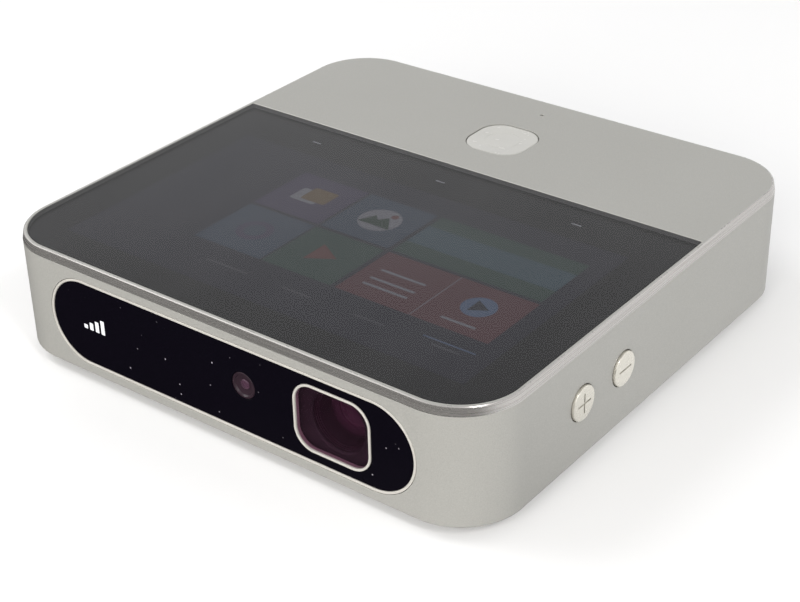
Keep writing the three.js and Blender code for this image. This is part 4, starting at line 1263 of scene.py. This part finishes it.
for material, nodes in CARRIED.items():
    for node in nodes:
        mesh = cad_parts[node].data
        mesh.materials.clear()
        mesh.materials.append(material)

# ---- Floor, light and camera ----


def make_floor():
    """White to the eye, but mirrored as a table that is dark before the object and pale behind it."""
    finish = Finish("pale_floor", (0.84, 0.84, 0.845), 0.9, 0.0, Specular_IOR_Level=0.0)
    finish.material.cycles.emission_sampling = "NONE"  # or the mirrored light would also light the object
    finish.set("Emission Color", (1, 1, 1, 1))
    finish.set("Emission Strength", 0.09)
    slant = 0.3  # how far the line between dark and pale turns from the X axis
    dark = 0.05
    pale = 0.85
    axes = finish.node("ShaderNodeSeparateXYZ")
    finish.link(finish.place, axes.inputs["Vector"])
    along = finish.node("ShaderNodeMath", operation="MULTIPLY_ADD")
    finish.link(axes.outputs["X"], along.inputs[0])
    along.inputs[1].default_value = slant
    finish.link(axes.outputs["Y"], along.inputs[2])
    seen = finish.node("ShaderNodeEmission")
    finish.link(finish.range(along.outputs["Value"], -0.08, 0.03, dark, pale), seen.inputs["Strength"])
    path = finish.node("ShaderNodeLightPath")
    choice = finish.node("ShaderNodeMixShader")
    finish.link(path.outputs["Is Glossy Ray"], choice.inputs["Fac"])
    finish.link(finish.shader.outputs["BSDF"], choice.inputs[1])
    finish.link(seen.outputs["Emission"], choice.inputs[2])
    finish.link(choice.outputs["Shader"], finish.output.inputs["Surface"])
    thin_slab = [(0, -0.02), (0, -0.2 * MM)]
    floor = solid("floor", ORIGIN, rounded_box(6, 6, 1), thin_slab, finish.material)


def make_world():
    """An even white room, a little darker overhead, and dark low down in front of the object."""
    world = bpy.data.worlds.new("studio")
    bpy.context.scene.world = world
    world.use_nodes = True
    tree = world.node_tree
    background = tree.nodes["Background"]
    background.inputs["Color"].default_value = (1, 1, 1, 1)
    direction = tree.nodes.new("ShaderNodeTexCoord").outputs["Generated"]
    axes = tree.nodes.new("ShaderNodeSeparateXYZ")
    tree.links.new(direction, axes.inputs["Vector"])

    def mapped(source, low, high, to_low, to_high):
        made = tree.nodes.new("ShaderNodeMapRange")
        made.interpolation_type = "SMOOTHSTEP"
        for socket, value in (("From Min", low), ("From Max", high), ("To Min", to_low), ("To Max", to_high)):
            made.inputs[socket].default_value = value
        tree.links.new(source, made.inputs["Value"])
        return made.outputs["Result"]

    def product(first, second):
        made = tree.nodes.new("ShaderNodeMath")
        made.operation = "MULTIPLY"
        tree.links.new(first, made.inputs[0])
        tree.links.new(second, made.inputs[1])
        return made.outputs["Value"]

    upper = mapped(axes.outputs["Z"], 0.4, 0.65, 1.0, 0.72)
    overhead = mapped(axes.outputs["Z"], 0.65, 0.95, 1.0, 0.4)
    in_front = mapped(axes.outputs["Y"], -0.75, -0.2, 1.0, 0.0)
    low_down = mapped(axes.outputs["Z"], 0.1, 0.35, 1.0, 0.0)
    mirrored = tree.nodes.new("ShaderNodeLightPath").outputs["Is Glossy Ray"]
    dimmed = mapped(product(product(in_front, low_down), mirrored), 0.0, 1.0, 1.0, 0.1)
    tree.links.new(product(product(upper, overhead), dimmed), background.inputs["Strength"])


def make_lamp(name, place, size, power, colour=(1, 1, 1), mirrored=True):
    """A round lamp aimed at the object, and hidden from mirror-like rays if mirrored is off."""
    lamp = bpy.data.lights.new(name, "AREA")
    lamp.color = colour
    lamp.shape = "DISK"
    lamp.size = size
    lamp.energy = power
    made = bpy.data.objects.new(name, lamp)
    bpy.context.scene.collection.objects.link(made)
    made.location = place
    made.visible_glossy = mirrored
    made.rotation_euler = (-Vector(place)).to_track_quat("-Z", "Y").to_euler()


def make_camera_view():
    """The photograph's view: from the front right and above, with a slight roll."""
    lens_mm = 77.24
    azimuth = math.radians(37.985)
    elevation = math.radians(30.335)
    roll = math.radians(-1.317)
    place = Vector((216.779, -280.356, 211.203)) * MM
    level = math.cos(elevation)
    back = Vector((math.sin(azimuth) * level, -math.cos(azimuth) * level, math.sin(elevation)))
    across = Vector((0, 0, 1)).cross(back).normalized()
    up = back.cross(across)
    right = across * math.cos(roll) + up * math.sin(roll)
    above = up * math.cos(roll) - across * math.sin(roll)
    data = bpy.data.cameras.new("photo_view")
    data.lens = lens_mm
    data.sensor_width = 36
    data.clip_start = 0.01
    made = bpy.data.objects.new("photo_view", data)
    bpy.context.scene.collection.objects.link(made)
    matrix = made.matrix_world.copy()
    for row in range(3):
        matrix[row][0] = right[row]
        matrix[row][1] = above[row]
        matrix[row][2] = back[row]
        matrix[row][3] = place[row]
    made.matrix_world = matrix
    bpy.context.scene.camera = made


make_floor()
make_world()
make_lamp("soft_key", (-0.9, -0.3, 1.0), size=0.7, power=5.4)
make_lamp("accent", (0.66, -0.32, 0.77), size=0.16, power=1.8)
make_lamp("front_fill", (0.35, -1.15, 0.38), size=1.2, power=16, colour=(1.0, 0.97, 0.92), mirrored=False)
make_camera_view()
bpy.context.scene.view_settings.view_transform = "Standard"
